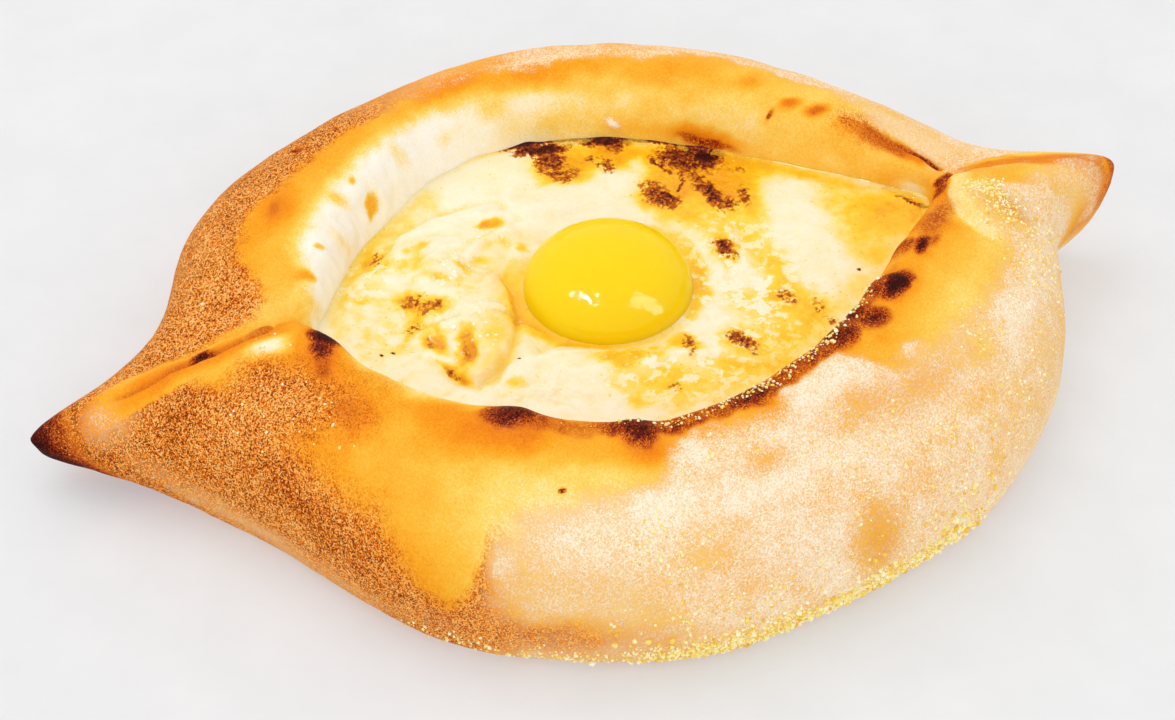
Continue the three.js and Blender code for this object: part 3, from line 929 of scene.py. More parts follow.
        bake = paint_to(bake, CRUST_TONES, Side.WALL, around, across)
        grit = paint_to(grit, CRUST_GRIT, Side.WALL, around, across)
        flour = paint_to(flour, CRUST_FLOUR, Side.WALL, around, across)
        scorch = paint_over(np.zeros_like(bake), CRUST_SCORCH, Side.WALL, angle + ragged * 0.25, across)
        charred = along_curve(self.char, angle) * (1 + 0.25 * noise_at(points, 3.0, 18))
        scorch = np.maximum(scorch, charred * within(self.char_band, across))

        # Round each scorched place the crust is browner.
        spread = [patch.spread(1.8) for patch in CRUST_SCORCH]
        halo = 0.6 * charred * smooth(6.5, -2.5, across) * (down > -11)
        browned = 0.45 * paint_over(halo, spread, Side.WALL, around, across)
        bake = toward(bake, self.char_tone, browned)

        # The folds at the two tips, painted along their own lines, with painted shade in the long crease and
        # a painted highlight on the roll beside it. A scorched place holds no flour.
        x, y = points[..., 0] + 0.35 * ragged, points[..., 1] + 0.35 * wobble
        top = smooth(CREASES_FROM - 2, CREASES_FROM + 2, points[..., 2])
        lines = ((bake, BAKE_LINES), (flour, FLOUR_LINES), (grit, GRIT_LINES), (scorch, SCORCH_LINES))
        bake, flour, grit, scorch = (stroke_to(values, strokes, x, y, top) for values, strokes in lines)
        flour = flour * (1 - smooth(0.05, 0.35, scorch))

        underside = smooth(3.0, 0.5, points[..., 2]) * (down > 0)
        bake, flour, grit = (
            toward(values, goal, underside) for values, goal in ((bake, 0.62), (flour, 0.45), (grit, 0.5))
        )
        channels = {"bake": bake, "flour": flour, "grit": grit, "scorch": scorch}
        return {name: np.clip(values, 0, 1) for name, values in channels.items()}


# The crust's dents, and then what is painted on it round the wall: browning, grit, flour, scorched places.
CRUST_DENTS = patches(
    (140, -12, 4, 3, -0.6, 0.8, -25), (33.7, -6, 0.6, 2, -0.7, 0.8, 5), (181.5, 24, 4, 4, -1),
    (188.5, 9, 3.5, 8, 1.3), (69, -17, 2.2, 1.5, 0.7, 0.9, 20),
)  # fmt: skip
CRUST_TONES = patches(
    # The inside of the far wall, from the slim tip round to the long one.
    (8, -9, 2.6, 3.5, 0.12, 0.8), (16, -6, 5, 6, 0.32, 0.9, 20), (27, -8, 4, 6, 0.28),
    (20, -12, 3, 3, 0.22), (31, -14, 6, 3, 0.27), (38, 0, 4, 4, 0.34), (42, 2, 3, 3, 0.54),
    (58, -1, 8, 4, 0.5), (27.2, 0, 2.4, 2.4, 0.72, 0.8), (32, -1.3, 2, 2.2, 0.68, 0.8),
    # (47, -17) darkens the far wall just above the filling: partly browning, partly painted shade where the
    # wall meets the cheese.
    (62, -17, 16, 4, 0.36), (47, -17, 9, 2.4, 0.56, 0.8), (60, -11, 6, 4, 0.3), (72, -8, 6, 4, 0.3),
    (82, -16, 10, 4, 0.26), (52, -6, 4, 5, 0.34), (93, -15, 5, 4, 0.18), (98, -9, 5, 3, 0.22),
    (104, 1, 9, 2.6, 0.6, 0.8), (112, -11.5, 3, 2, 0.14), (131, 7, 8, 4, 0.48, 0.8),
    (151, 10, 8, 3.5, 0.58, 0.8), (147, -3, 2.2, 3, 0.28, 0.8), (140.8, -2.7, 1.2, 1, 0.4, 0.7),
    (161.8, -3.6, 1.2, 1, 0.38, 0.7), (169.4, -1.4, 1.4, 2.4, 0.5, 0.7),
    (175.6, -1, 1.4, 0.8, 0.46, 0.7), (140.5, -12, 4, 2.4, 0.42, 0.5, -28), (125, -8, 3, 4, 0.16),
    (156, -9, 2, 6, 0.12),
    # The fold at the long tip.
    (175, 6, 3.5, 12, 0.3, 0.8), (184, 5, 3, 8, 0.5, 0.8), (187, 20, 4, 7, 0.4),
    (181, 42, 5, 12, 0.42, 0.8),
    # The near wall.
    (248, 19, 14, 8, 0.2), (257, 11, 8, 4, 0.24), (243, 27, 5, 6, 0.22), (231, 4, 8, 5, 0.6),
    (221, 1, 7, 4, 0.54), (239, 2.5, 7, 4, 0.6), (266, 3, 5, 3.5, 0.6), (197, 4, 5, 4, 0.64),
    (209, 8, 6, 5, 0.6), (197, 14, 7, 6, 0.48), (196, 21, 8, 5, 0.44), (190, 38, 3.5, 10, 0.72),
    (206, 31, 8, 3, 0.66, 0.9, 25), (214, 36, 9, 4, 0.74, 0.9, 25), (221, 39, 7, 4, 0.72, 0.9, 25),
    (207, 50, 22, 4, 0.44), (233, 47, 10, 4, 0.54), (250, 50, 18, 6, 0.48), (228, 39, 9, 8, 0.52),
    # The slim tip.
    (357, 12, 4, 12, 0.18, 0.8), (358, 30, 3, 8, 0.34), (355.5, 17, 3.4, 6, 0.38),
    (4.2, 56, 5.5, 11, 0.66, 0.8), (180, 66, 8, 10, 0.8, 0.8),
)  # fmt: skip
CRUST_GRIT = patches(
    (187, 13, 4.5, 15, 0, 0.8), (203, 9, 14, 7, 0.5), (197, 16, 10, 6, 0.85), (205, -2, 12, 4, 0.25),
    (250, 51, 24, 8, 0.78, 0.8), (254, 36, 14, 8, 0.22), (312, 16, 22, 8, 0.4, 0.9, 20),
    (285, 13, 10, 5, 0.3), (297, 42, 6, 10, 0.35), (354, 1, 9, 4, 0.5), (4.2, 56, 5.5, 11, 0.4, 0.8),
    (20, 2, 6, 5, 0.5), (180, 66, 10, 14, 0.9, 0.8), (172, 30, 8, 14, 1),
)  # fmt: skip
CRUST_FLOUR = patches(
    (250, 49, 18, 7, 0.16), (238, 50, 12, 5, 0.1), (207, 52, 24, 5, 0.34), (251, 35, 9, 6, 0.52),
    (243, 32, 2.6, 3.5, 0.72), (255, 24, 12, 5, 0.86), (268, 17, 9, 4, 0.97), (286, 18, 16, 3.5, 0.92),
    (271, 30, 7, 4, 0.5), (263, 43, 7, 7, 0.4), (278, 37, 8, 4, 0.56), (289, 40, 4, 8, 0.84),
    (296, 41, 5, 9, 0.28, 0.8), (286, 12.5, 5, 3, 0.48), (275, 5, 3, 4, 0.9), (306, 3, 10, 5, 0.97, 0.8),
    (306, 13, 8, 4, 0.46), (317, 20, 14, 4, 0.42, 0.9, 12), (328, 25, 5, 3, 0.3), (321, 31, 5, 3, 0.5),
    (322, 12, 3, 2, 0.8), (337, 28, 6, 4, 0.8), (347, 32, 8, 6, 0.74), (352, 20, 3, 5, 0.52),
    (355.5, 17, 3.6, 6, 0.22), (330, 45, 24, 8, 0.56), (312, 42, 5, 4, 0.78), (268, 54, 20, 5, 0.5),
    (69, -16.5, 2.6, 1.3, 0.95, 0.6, 20), (9, 5, 4, 5, 0.66, 0.8), (20, 12, 10, 5, 0.4),
    (44, 13, 12, 4, 0.6), (70, 9, 12, 5, 0.48), (96, 9, 14, 6, 0.34), (104, 3.5, 15, 4, 0.3),
    (115, 12, 12, 9, 0.22), (1, 38, 4, 9, 0.52), (183.4, 47, 2.4, 8, 0.4), (4.2, 57, 5.5, 10, 0.08, 0.8),
)  # fmt: skip
CRUST_SCORCH = patches(
    (190.5, -2.5, 4, 2.8, 0.92, 0.8, 30), (193, 0.5, 3.6, 2.2, 0.72, 0.9, 38),
    (197, 3.5, 4, 1.8, 0.34, 0.9, 30), (208, 9, 5, 3, 0.2, 0.9, 30), (237, -2.6, 8, 3.2, 0.78),
    (265.5, -1.4, 4.6, 3.2, 0.72), (292.5, -2.4, 3, 2.4, 0.66), (319, -1.8, 5, 2.4, 0.62),
    (326, 0, 4.2, 3.2, 0.6), (336, 0, 5, 2.5, 0.98, 0.7), (346.5, 1, 2.6, 1.9, 0.86, 0.8),
    (348, 3.5, 2, 1.6, 0.36), (354, 1, 7, 4, 0.3), (363.5, -2, 2.4, 3, 0.56), (27.2, 0, 1.4, 1.8, 0.16),
    # (46, -18.4) is a dark band on the far wall just above the filling: partly scorching, partly painted
    # shade where the wall meets the cheese.
    (32, -1.3, 1.2, 1.8, 0.16), (46, -18.4, 9, 1.4, 0.46), (136.2, 17, 0.8, 1.5, 0.66, 0.8),
    (153, 10.5, 4, 2, 0.24), (33.7, -6, 0.32, 1.5, 0.9, 0.6, 5), (250.5, 14, 0.5, 0.4, 0.9, 0.5),
    (180, 70, 8, 9, 0.95),
)  # fmt: skip

# Lines on the plan: the crease under the near wall's end at the long tip, the roll beside it, the edge of the
# flap at the slim tip, its ridge, the crease where the far wall tucks under it, and the band along that wall.
CREASES_FROM = 15.0  # they lie on the crust above this height in millimetres
LONG_CREASE = (
    (-71.7, 2.3), (-77.6, -4.9), (-81.9, -4.7), (-85.3, -4.9), (-90.2, -5.2), (-93.6, -3.9), (-98.4, -3.6),
    (-106, -4.4), (-112, -4.2), (-120, -2.0),
)  # fmt: skip
LONG_ROLL = ((-71.3, -12.1), (-74.8, -11.5), (-78.5, -11.2), (-82.7, -10.4), (-87, -10.5))
FLAP_EDGE = ((95.6, 9), (91, 0), (89.6, -6.6), (90.5, -11.9), (92.4, -16.1), (95.8, -18.3), (98.1, -21.4))
SLIM_RIDGE = ((97, 12), (103, 12.5), (109.7, 12.1), (118.5, 9.5), (128, 8), (136, 6.5))
SLIM_TOP = ((99, 3), (108, 2.6), (118, 2.6))
FAR_CREASE = ((82, 26.6), (87, 22.8), (91.7, 19), (95.4, 12.5))
FAR_BAND = ((70, 32), (80, 27.6), (88, 21.6), (94, 15))
FAR_RIM = ((80, 33.7), (88, 28), (95.5, 20.6), (98, 16))
CRUST_CREASES = (
    Stroke(LONG_CREASE, (0.2, 0.2), (1.4, 1.4), -1.0, (6, 14)),
    Stroke(FAR_CREASE, (0.2, 0.2), (1.4, 1.4), -1.1, (3, 3)),
    Stroke(FLAP_EDGE, (1.2, 0.0), (3.5, 0.5), 0.7, (5, 6)),
    Stroke(SLIM_RIDGE, (0.4, 0.4), (1.2, 1.2), 0.4, (4, 6)),
)
BAKE_LINES = (
    # Along the long crease the crust is painted browner, with no flour or grit: partly browning, partly
    # painted shade in the crease.
    Stroke(LONG_CREASE, (2.0, 1.5), (4.0, 3.0), 0.58, (8, 12)),
    Stroke(((-74, 2), (-80, -1.5), (-92, 1.5), (-108, 1)), (2.0, 2.0), (3.0, 3.0), 0.40, (4, 10)),
    # Along the roll under the long crease the crust is painted nearly unbaked cream: the dough's own pale
    # colour, and partly a painted highlight on the roll's top.
    Stroke(LONG_ROLL, (1.0, 0.6), (3.2, 3.4), 0.09, (6, 8)),
    Stroke(SLIM_TOP, (2.4, 2.4), (2.8, 2.8), 0.42, (6, 10)),
    Stroke(FLAP_EDGE, (2.6, 0.0), (4.5, 0.5), 0.20, (3, 5)),
    Stroke(SLIM_RIDGE, (1.2, 2.0), (2.6, 3.4), 0.62, (4, 1)),
    Stroke(((97, 14.5), (107, 16), (116, 13.5)), (2.2, 2.2), (2, 2), 0.40, (4, 6)),
    Stroke(FAR_RIM, (2.2, 2.2), (2.5, 2.5), 0.20, (6, 3)),
    Stroke(FAR_BAND, (0.2, 1.2), (1.6, 3.0), 0.62, (8, 4)),
)
FLOUR_LINES = (
    Stroke(LONG_CREASE, (4.0, 4.0), (3.0, 3.0), 0.0, (8, 12)),
    Stroke(((100, -4), (110, -4), (120, -3)), (5.0, 5.0), (3, 3), 0.62, (4, 4)),
    Stroke(SLIM_TOP, (2.2, 2.2), (2.6, 2.6), 0.08, (6, 10)),
    Stroke(((99, 9.6), (112, 10), (124, 7.5)), (1.6, 1.6), (1.4, 1.4), 0.16, (4, 8)),
    Stroke(FAR_BAND, (0.2, 3.0), (1.2, 3.0), 0.0, (6, 4)),
    Stroke(FAR_RIM, (2.0, 2.0), (2.0, 2.0), 0.50, (6, 3)),
    Stroke(FLAP_EDGE, (1.8, 3.5), (4.0, 2.0), 0.0, (2, 8)),
    Stroke(((97, -9), (103, -11), (109, -11)), (2.6, 2.6), (3, 3), 0.24, (5, 5)),
    Stroke(((124, 4), (130, 5), (136, 6.5)), (2.0, 2.4), (2, 2), 0.50, (4, 2)),
)
GRIT_LINES = (
    Stroke(LONG_CREASE, (2.5, 2.5), (2.5, 2.5), 0.0, (10, 16)),
    Stroke(((-92, 7.5), (-104, 7), (-118, 5), (-130, 2)), (3, 2.4), (2, 3), 0.95, (8, 2)),
    Stroke(((98, -7), (106, -9), (113, -9)), (3.0, 3.0), (3, 3), 0.55, (5, 5)),
    Stroke(((122, 7), (130, 7), (137, 7)), (2, 2), (2, 2), 0.55, (5, 1)),
)
SCORCH_LINES = (
    # The long crease is painted darker still: partly scorching, partly painted shade in the crease.
    Stroke(LONG_CREASE, (0.2, 0.3), (1.2, 1.5), 0.24, (6, 10)),
    Stroke(((-89, -5.3), (-93.6, -3.9), (-97, -3.6)), (0.3, 0.6), (1.6, 2.2), 0.78, (5, 3)),
    Stroke(((-74, 0), (-79, -4.4), (-84, -4.8)), (0.9, 0.8), (3.0, 2.4), 0.25, (5, 5)),
    Stroke(FAR_CREASE, (0.1, 0.3), (1.1, 1.7), 0.54, (6, 2)),
    Stroke(((74, 29.8), (80, 27), (86, 22.5), (91, 18)), (0.6, 1.2), (2.2, 3.4), 0.29, (6, 5)),
    Stroke(SLIM_RIDGE, (0.2, 0.2), (0.9, 0.9), 0.17, (3, 1)),
    Stroke(((93.6, 12), (95.4, 8.0)), (1.8, 1.8), (1.6, 1.6), 0.60, (2, 2)),
    Stroke(((136.5, 6.6), (141, 8.5)), (2, 2), (2, 2), 0.32, (2.5, 0.5)),
)


# ---- Filling ------------------------------------------------------------------------------------------


@dataclass(frozen=True)
class MeltedCheese:
    """Brined white cheese with egg white, melted and blistered under the heat of the oven's roof."""

    milk: Stops = (
        (0, "FEF3D6"), (0.2, "FDEDC0"), (0.38, "FFE284"), (0.56, "FFD234"), (0.76, "FABA14"),
        (1, "EE960E"),
    )  # fmt: skip
    toast: Stops = (
        (0, "FBC428"), (0.22, "EEA016"), (0.45, "CC6C12"), (0.66, "8C320C"), (0.85, "561408"),
        (1, "380A06"),
    )  # fmt: skip
    clear: str = "FFCF38"
    # The white of the highlights that are painted on bubbles.
    painted_glint: str = "FFFFFA"
    curd_size: float = 5.0
    web_size: float = 3.3
    tick_size: float = 0.9
    blister_size: float = 0.7
    bubble_size: float = 1.5

    def material(self) -> bpy.types.Material:
        """Melted cheese: milky and wet, yellow with butter in places and with painted shade in the hollows of
        its relief, dark and granular where it toasted.
        """
        material = new_material("melted_brined_cheese")
        mix = Mixer(material)
        # The butter channel also carries painted shade in the hollows of the relief and painted light on its
        # tops.
        butter, toast, web, clear, bubbly = (
            mix.channel(name) for name in ("butter", "toast", "web", "clear", "bubbly")
        )
        cloud = mix.centred(mix.grain(self.curd_size, 3.0, 0.55, 0.4))
        mottle = mix.centred(mix.grain(1.9, 3.0, 0.6))
        speck = mix.speckle(self.blister_size, self.blister_size)

        # White shreds of curd stand in the butter, and small ticks of butter lie in the curd.
        shred = mix.product(mix.step(mix.grain(self.web_size, 3.0, 0.6, 0.3), 0.49, 0.60), web)
        tick = mix.step(mix.grain(self.tick_size, 1.0, 0.5, 0.4), 0.66, 0.74)
        parts = ((cloud, 0.30), (mottle, 0.22), (shred, -0.42), (tick, 0.20), (bubbly, 0.18))
        colour = mix.ramp(mix.sum_of(butter, *parts), self.milk)
        colour = mix.blend(mix.product(clear, 0.75), colour, self.clear)

        # Small bubbles stand in the wet egg white as a bump, and white specks are painted on some of them as
        # their highlights.
        from_middle = mix.cells(self.bubble_size).outputs["Distance"]
        blister = mix.product(mix.step(from_middle, 0.75, 0.1), bubbly)
        painted_glint = mix.product(mix.step(from_middle, 0.44, 0.20), bubbly)
        patchy = mix.step(mix.grain(2.8, 2.0, 0.6, 0.3), 0.50, 0.60)
        colour = mix.blend(mix.product(painted_glint, patchy), colour, self.painted_glint)

        # Toasting: soft at its edge, granular and darker in its middle.
        spread = mix.step(toast, 0.0, 0.3)
        depth = mix.sum_of(toast, (mix.product(speck, spread), 1.2), (mix.product(mottle, spread), 0.8))
        cover = mix.step(depth, 0.14, 0.40)
        colour = mix.blend(cover, colour, mix.ramp(depth, self.toast))

        rough = mix.sum_of(0.36, (cloud, 0.3), (clear, -0.2), (butter, -0.1), (cover, 0.2))
        rough = mix.maths("MAXIMUM", rough, 0.1)
        height = mix.sum_of(0.5, (mottle, 0.9), (speck, mix.scale(cover, 0.08, 2.0)), (blister, 0.6))
        settings = {
            "IOR": 1.45,
            "Specular IOR Level": 0.12,
            "Subsurface Weight": 0.15,
            "Subsurface Radius": (0.004, 0.0025, 0.001),
            "Subsurface Scale": 1.0,
            "Coat Roughness": 0.06,
            "Coat IOR": 1.45,
        }
        links = {"Base Color": colour, "Roughness": rough, "Coat Weight": mix.scale(cover, 0.45, 0.05)}
        finish_surface(material, settings, **links, Normal=mix.bump(height, 0.4))
        return material


@dataclass(frozen=True)
class Curd:
    """A soft lump in the filling: its place, the heading of its long side, half its sizes and its rise."""

    at: tuple[float, float]
    along: float
    half: tuple[float, float]
    rise: float

    def value(self, x: Array, y: Array) -> Array:
        """What the lump adds to the height at points on the plan."""
        dx, dy = x - self.at[0], y - self.at[1]
        cosine, sine = heading(self.along)
        u = (dx * cosine + dy * sine) / self.half[0]
        v = (dy * cosine - dx * sine) / self.half[1]
        return self.rise * np.exp(-(u * u + v * v))


# The soft lumps of the filling.
CURDS = (
    Curd((-30, 0), 100, (19, 8.5), 3.4),
    Curd((-33, 19), 20, (13, 7.5), 2.4),
    Curd((-9, -26), -12, (17, 7.5), 2.6),
    Curd((-12, 33), 5, (22, 9), 1.4),
    Curd((33, 8), -60, (14, 6), 1.5),
    Curd((21, -28), 20, (15, 7), 1.2),
    Curd((58, 14), -30, (20, 12), 1.3),
    Curd((-48, 10), 70, (16, 7), 1.4),
)

# The skins of set egg white that end in a lip, the largest of which is the lobe beside the yolk.
LOBE = (
    (-20, 13), (-19, 4), (-19.5, -4), (-21.5, -12), (-25, -19), (-29, -23), (-33, -24.5), (-37, -20.5),
    (-39.5, -15),
)  # fmt: skip
LOBE_FOOT = ((-12, -14), (-17, -9), (-19, -6.5), (-21.5, -11), (-25, -20), (-30, -29))
SKINS = (
    Fold(LOBE, (-1.2, 2.6), (1.9, 6), 0.3, (10, 8)),
    Fold(((-52, 18), (-44, 25), (-40, 31), (-30, 36), (-14, 38)), (-0.5, 3.0), (1.0, 7), 0.4, (8, 14)),
    Fold(((-44, 12), (-37, 14), (-31, 10), (-26, 13)), (0.9, 4), (-0.5, 2.5), 0.4, (5, 5)),
    Fold(((-50, -14), (-44, -12), (-40, -15), (-37, -21)), (0.9, 4), (-0.4, 2.5), 0.4, (5, 5)),
    Fold(LOBE_FOOT, (1.2, 6), (-0.5, 2), 0.5, (4, 8)),
    Fold(((-34, 12), (-26, 16), (-20, 23), (-12, 25), (-8, 22)), (0.8, 4), (-0.5, 3), 0.5, (8, 8)),
    Fold(((-27, 5), (-22, 11), (-17, 15), (-14, 21), (-16, 27)), (-0.5, 2.5), (0.9, 4), 0.5, (6, 6)),
    Fold(((-45, 31), (-36, 27), (-30, 30), (-20, 32), (0, 29), (12, 31)), (0.7, 5), (-0.4, 3), 0.7, (8, 12)),
    Fold(((-47, -8), (-40, -3), (-33, -4), (-28, 2)), (-0.3, 3), (1.0, 4), 0.5, (6, 6)),
    Fold(((-38, -8), (-36, -14), (-35, -20), (-32, -23)), (0.9, 3), (-0.7, 3), 0.5, (4, 4)),
    Fold(((4, -33), (12, -29), (22, -31), (30, -36), (40, -36)), (0.6, 4), (-0.4, 3), 0.6, (6, 8)),
    Fold(((28, -8), (33, -4), (34, 3), (40, 8), (41, 16)), (0.6, 3), (-0.4, 3), 0.5, (6, 6)),
)

# What is painted on the filling, on the plan: butter, toasted places, clear egg white, shreds of curd in the
# butter, and bubbles.
CHEESE_BUTTER = patches(
    # Along the far wall, left.
    (-52, 20, 17, 6, 0.5, 0.8, 63), (-57, 8, 7, 4.5, 0.42, 0.8, 80), (-46, 29, 8, 5, 0.5, 0.8, 50),
    (-38, 37, 7, 4.5, 0.4, 0.9, 40), (-31, 43, 3, 4, 0.42, 0.9, -40), (-47, 24, 3.6, 6.5, 0.6, 0.7, -8),
    (-41.5, 19, 1.6, 1.8, 0.62, 0.7), (-40, 23, 1.4, 1.6, 0.62, 0.7), (-37.5, 21, 2, 4.5, 0.5, 0.8, -15),
    (-36, 25, 2.4, 1.6, 0.52, 0.8, 20), (-54, 14, 4, 4, 0.4), (-51, 5, 7, 11, 0.33),
    (-45, -7, 8, 9, 0.28), (-54, 10, 2, 1.5, 0.46, 0.8, 30), (-56, 2, 5, 5, 0.3, 0.9, 70),
    (-52, -10, 6, 4, 0.22, 0.9, 40), (-41, 28.5, 3.4, 3, 0.2), (-38.8, 16, 4, 2.8, 0.54, 0.8),
    (-28.7, 6.2, 5, 5, 0.26), (-26.5, -13.5, 2.6, 6, 0.44, 0.9, -14),
    # Round the small toasted places on the left.
    (-42, 6, 4.5, 3.2, 0.72, 0.6, -20), (-38, 2.5, 4.4, 2.6, 0.76, 0.6), (-44, -2, 5, 2, 0.74, 0.6, 25),
    (-48, -4, 3.5, 2.6, 0.62, 0.8, 30), (-51, -5, 7, 5, 0.38, 0.9, 25), (-40, -9, 2.6, 4.6, 0.78, 0.5),
    (-39.5, -4.5, 1.4, 1.6, 0.64, 0.7), (-33.5, -14.5, 2.6, 7, 0.8, 0.5, -10),
    (-37.6, -18.8, 0.9, 4.2, 0.8, 0.6, 35), (-17.5, 29, 3, 1.8, 0.82, 0.5, 15),
    (-12, 19, 1.6, 2, 0.6, 0.7), (-22, 17, 2, 1.4, 0.42, 0.8), (-28.3, 13.5, 1.3, 2, 0.52, 0.7, 20),
    (-34.5, 11.5, 2, 1, 0.4, 0.8, -20), (-19, 8, 1.4, 1.4, 0.52, 0.8),
    (-24.5, -27.5, 2.4, 1.4, 0.62, 0.6, -25),
    # Between the lobe and the yolk, and before the yolk.
    (-11, -15, 1.8, 7, 0.66, 0.8, 32), (1, -26, 7, 2.4, 0.8, 0.7, -4), (1, -28, 3.5, 2.5, 0.72, 0.8),
    (9, -27, 2.6, 2.6, 0.6, 0.8), (14, -24, 4, 1.6, 0.5, 0.8, 25), (1, -35, 6, 5, 0.42),
    (10, -37, 5, 6, 0.66, 0.8), (9, -38, 2, 2, 0.82, 0.8), (3, -40, 3, 2, 0.66, 0.8),
    (24, -38, 18, 6.5, 0.54, 0.9, 12), (17, -25.5, 2.6, 4.6, 0.74, 0.7, 15),
    (29.5, -28, 4.2, 5.6, 0.78, 0.6, 30),
    # The right, where butter stands between strands of curd.
    (37, -30, 13, 8, 0.58, 0.9, 25), (43, -18, 6, 9, 0.6), (50, -22, 4, 8, 0.7, 0.8, -20),
    (45, -15, 3.5, 5, 0.76, 0.7), (46, -4, 4, 9, 0.64, 0.9, 8), (44, 8, 4, 8, 0.5),
    (48, 18, 4, 7, 0.66, 0.8), (50, 28, 4.5, 8, 0.72, 0.8), (53, 34, 8, 3.5, 0.72, 0.8, -38),
    (63, 28, 9, 2.6, 0.62, 0.8, -38), (70, 20, 6, 5, 0.5, 0.9, -45), (76, 12, 9, 6, 0.52, 0.9, -30),
    (73, 2, 8, 8, 0.42), (81, 5, 7, 5, 0.52, 0.9, 20), (70, -8, 8, 6, 0.38, 0.9, 45),
    (60, -19, 9, 4, 0.42, 0.9, 40), (69.5, 10.5, 2.8, 1.5, 0.68, 0.7, 20),
    (68.5, 5.5, 2, 1.2, 0.56, 0.7), (58, 5, 7, 12, 0.08), (56, 20, 6, 7, 0.06),
    (60, -8, 7, 8, 0.12, 0.9, 30), (77, 6, 11, 8, 0.7, 0.9, 20), (83, 9, 4, 3, 0.74, 0.9, 30),
    (70, -4, 5, 6, 0.52), (65, 14, 4, 3, 0.46, 0.9, -30), (34.5, -14.4, 4.5, 4.5, 0.5),
    (64.7, -15.5, 5, 3.5, 0.42),
    # The toasted corner.
    (6, 47, 7, 9, 0.86, 0.6), (19, 49, 10, 6, 0.84, 0.6, -12), (38, 40, 13, 9, 0.9, 0.5, -25),
    (28, 30, 7, 9, 0.86, 0.6), (41, 27, 8, 10, 0.86, 0.6), (33, 19, 7, 5, 0.66, 0.8),
    (37, 12, 7, 4.5, 0.52), (35.5, 4.5, 3.6, 4.6, 0.74, 0.8), (24.5, 43.5, 2.2, 3.4, 0.26, 0.8),
    (10, 36, 10, 4, 0.06, 0.8),
)  # fmt: skip
CHEESE_TOAST = patches(
    (2, 56, 6.5, 2, 0.95, 0.7, -4), (3.5, 51, 3.6, 5, 0.72, 0.8, -8), (5.5, 44, 3, 3, 0.66),
    (18.5, 55, 6, 2.2, 0.92, 0.7, -18), (21, 52, 2.6, 2, 0.7, 0.9, -18), (16.8, 45.5, 2.2, 3.2, 0.56),
    (14, 49, 1.2, 1.6, 0.52), (38, 42, 8, 5.6, 0.74, 0.7, -28), (42, 41, 4, 4, 0.92, 0.8),
    (26.5, 29.5, 3.2, 6, 0.66, 0.8, 22), (28, 29, 1.4, 3.6, 0.86, 0.8, 22),
    (38.6, 28, 2.2, 7.5, 0.74, 0.8, 12), (41.5, 21, 2.4, 2.6, 0.6), (46.5, 23.5, 1.4, 4, 0.56, 0.9, -14),
    (48, 34, 2, 1.4, 0.4), (35.5, 4.5, 2, 3.6, 0.68, 0.8, 18), (29.5, -27.5, 2, 3.8, 0.66, 0.8, 38),
    (30.5, -31, 1, 2, 0.44), (16.8, -26, 1.4, 3.4, 0.46, 0.9, -10), (45, -15.5, 2, 3, 0.38, 0.9, 20),
    (51, -21, 1.2, 3.4, 0.34, 0.9, -10), (52, -26, 1.6, 1.6, 0.34), (-47.3, 23.5, 1.4, 3, 0.44, 0.9, -5),
    (-41.5, 6, 3, 1.8, 0.4, 0.9, -15), (-37.8, 2.6, 3.2, 1.6, 0.44, 0.9, 5),
    (-43.5, -2, 2.6, 1.2, 0.4, 0.9, 25), (-40.3, -9.5, 1.3, 2.6, 0.34),
    (-33.8, -15, 1, 3.6, 0.38, 0.9, -10), (-38.2, -18.8, 0.5, 2.6, 0.44, 0.9, 35),
    (10, -38, 1.6, 2, 0.32), (86, 9.5, 0.8, 4.4, 0.6, 0.8, 42), (33.2, 33, 0.5, 5, 0.72, 0.6, -20),
    (29.3, 42, 0.5, 4, 0.66, 0.6, 12), (31.2, 38, 0.5, 2.5, 0.66, 0.6, 30),
)  # fmt: skip
CHEESE_CLEAR = patches(
    (-18.6, 2, 5, 14, 0.95, 0.8), (-22.6, -10, 4.2, 9, 1, 0.8, -14),
    (-28.5, -20.5, 5.5, 2.8, 1, 0.7, 35), (-14, -12, 2.2, 5, 0.55, 0.8, 35), (-10, 22, 4, 3, 0.35),
    (23, 12, 4, 6, 0.4, 0.9, -20), (2, -24, 14, 2.6, 0.45),
)  # fmt: skip
CHEESE_WEB = patches(
    (35, -10, 16, 22, 1, 0.6), (15, -34, 20, 9, 0.8, 0.6), (40, 10, 8, 10, 0.6, 0.7),
    (-50, 18, 10, 8, 0.6, 0.8, 60), (-45, -2, 12, 10, 0.5, 0.8),
)  # fmt: skip
CHEESE_BUBBLES = patches(
    (-30, 14, 7, 6, 0.8, 0.7), (-18, 24, 7, 4, 0.7, 0.7), (-31, -8, 6, 9, 0.9, 0.7),
    (-18, -3, 2, 6, 0.5, 0.7), (-5, -30, 16, 5, 0.4, 0.8), (-22, -32, 8, 3, 0.7, 0.8),
    (33, -5, 7, 9, 0.5, 0.8),
)  # fmt: skip


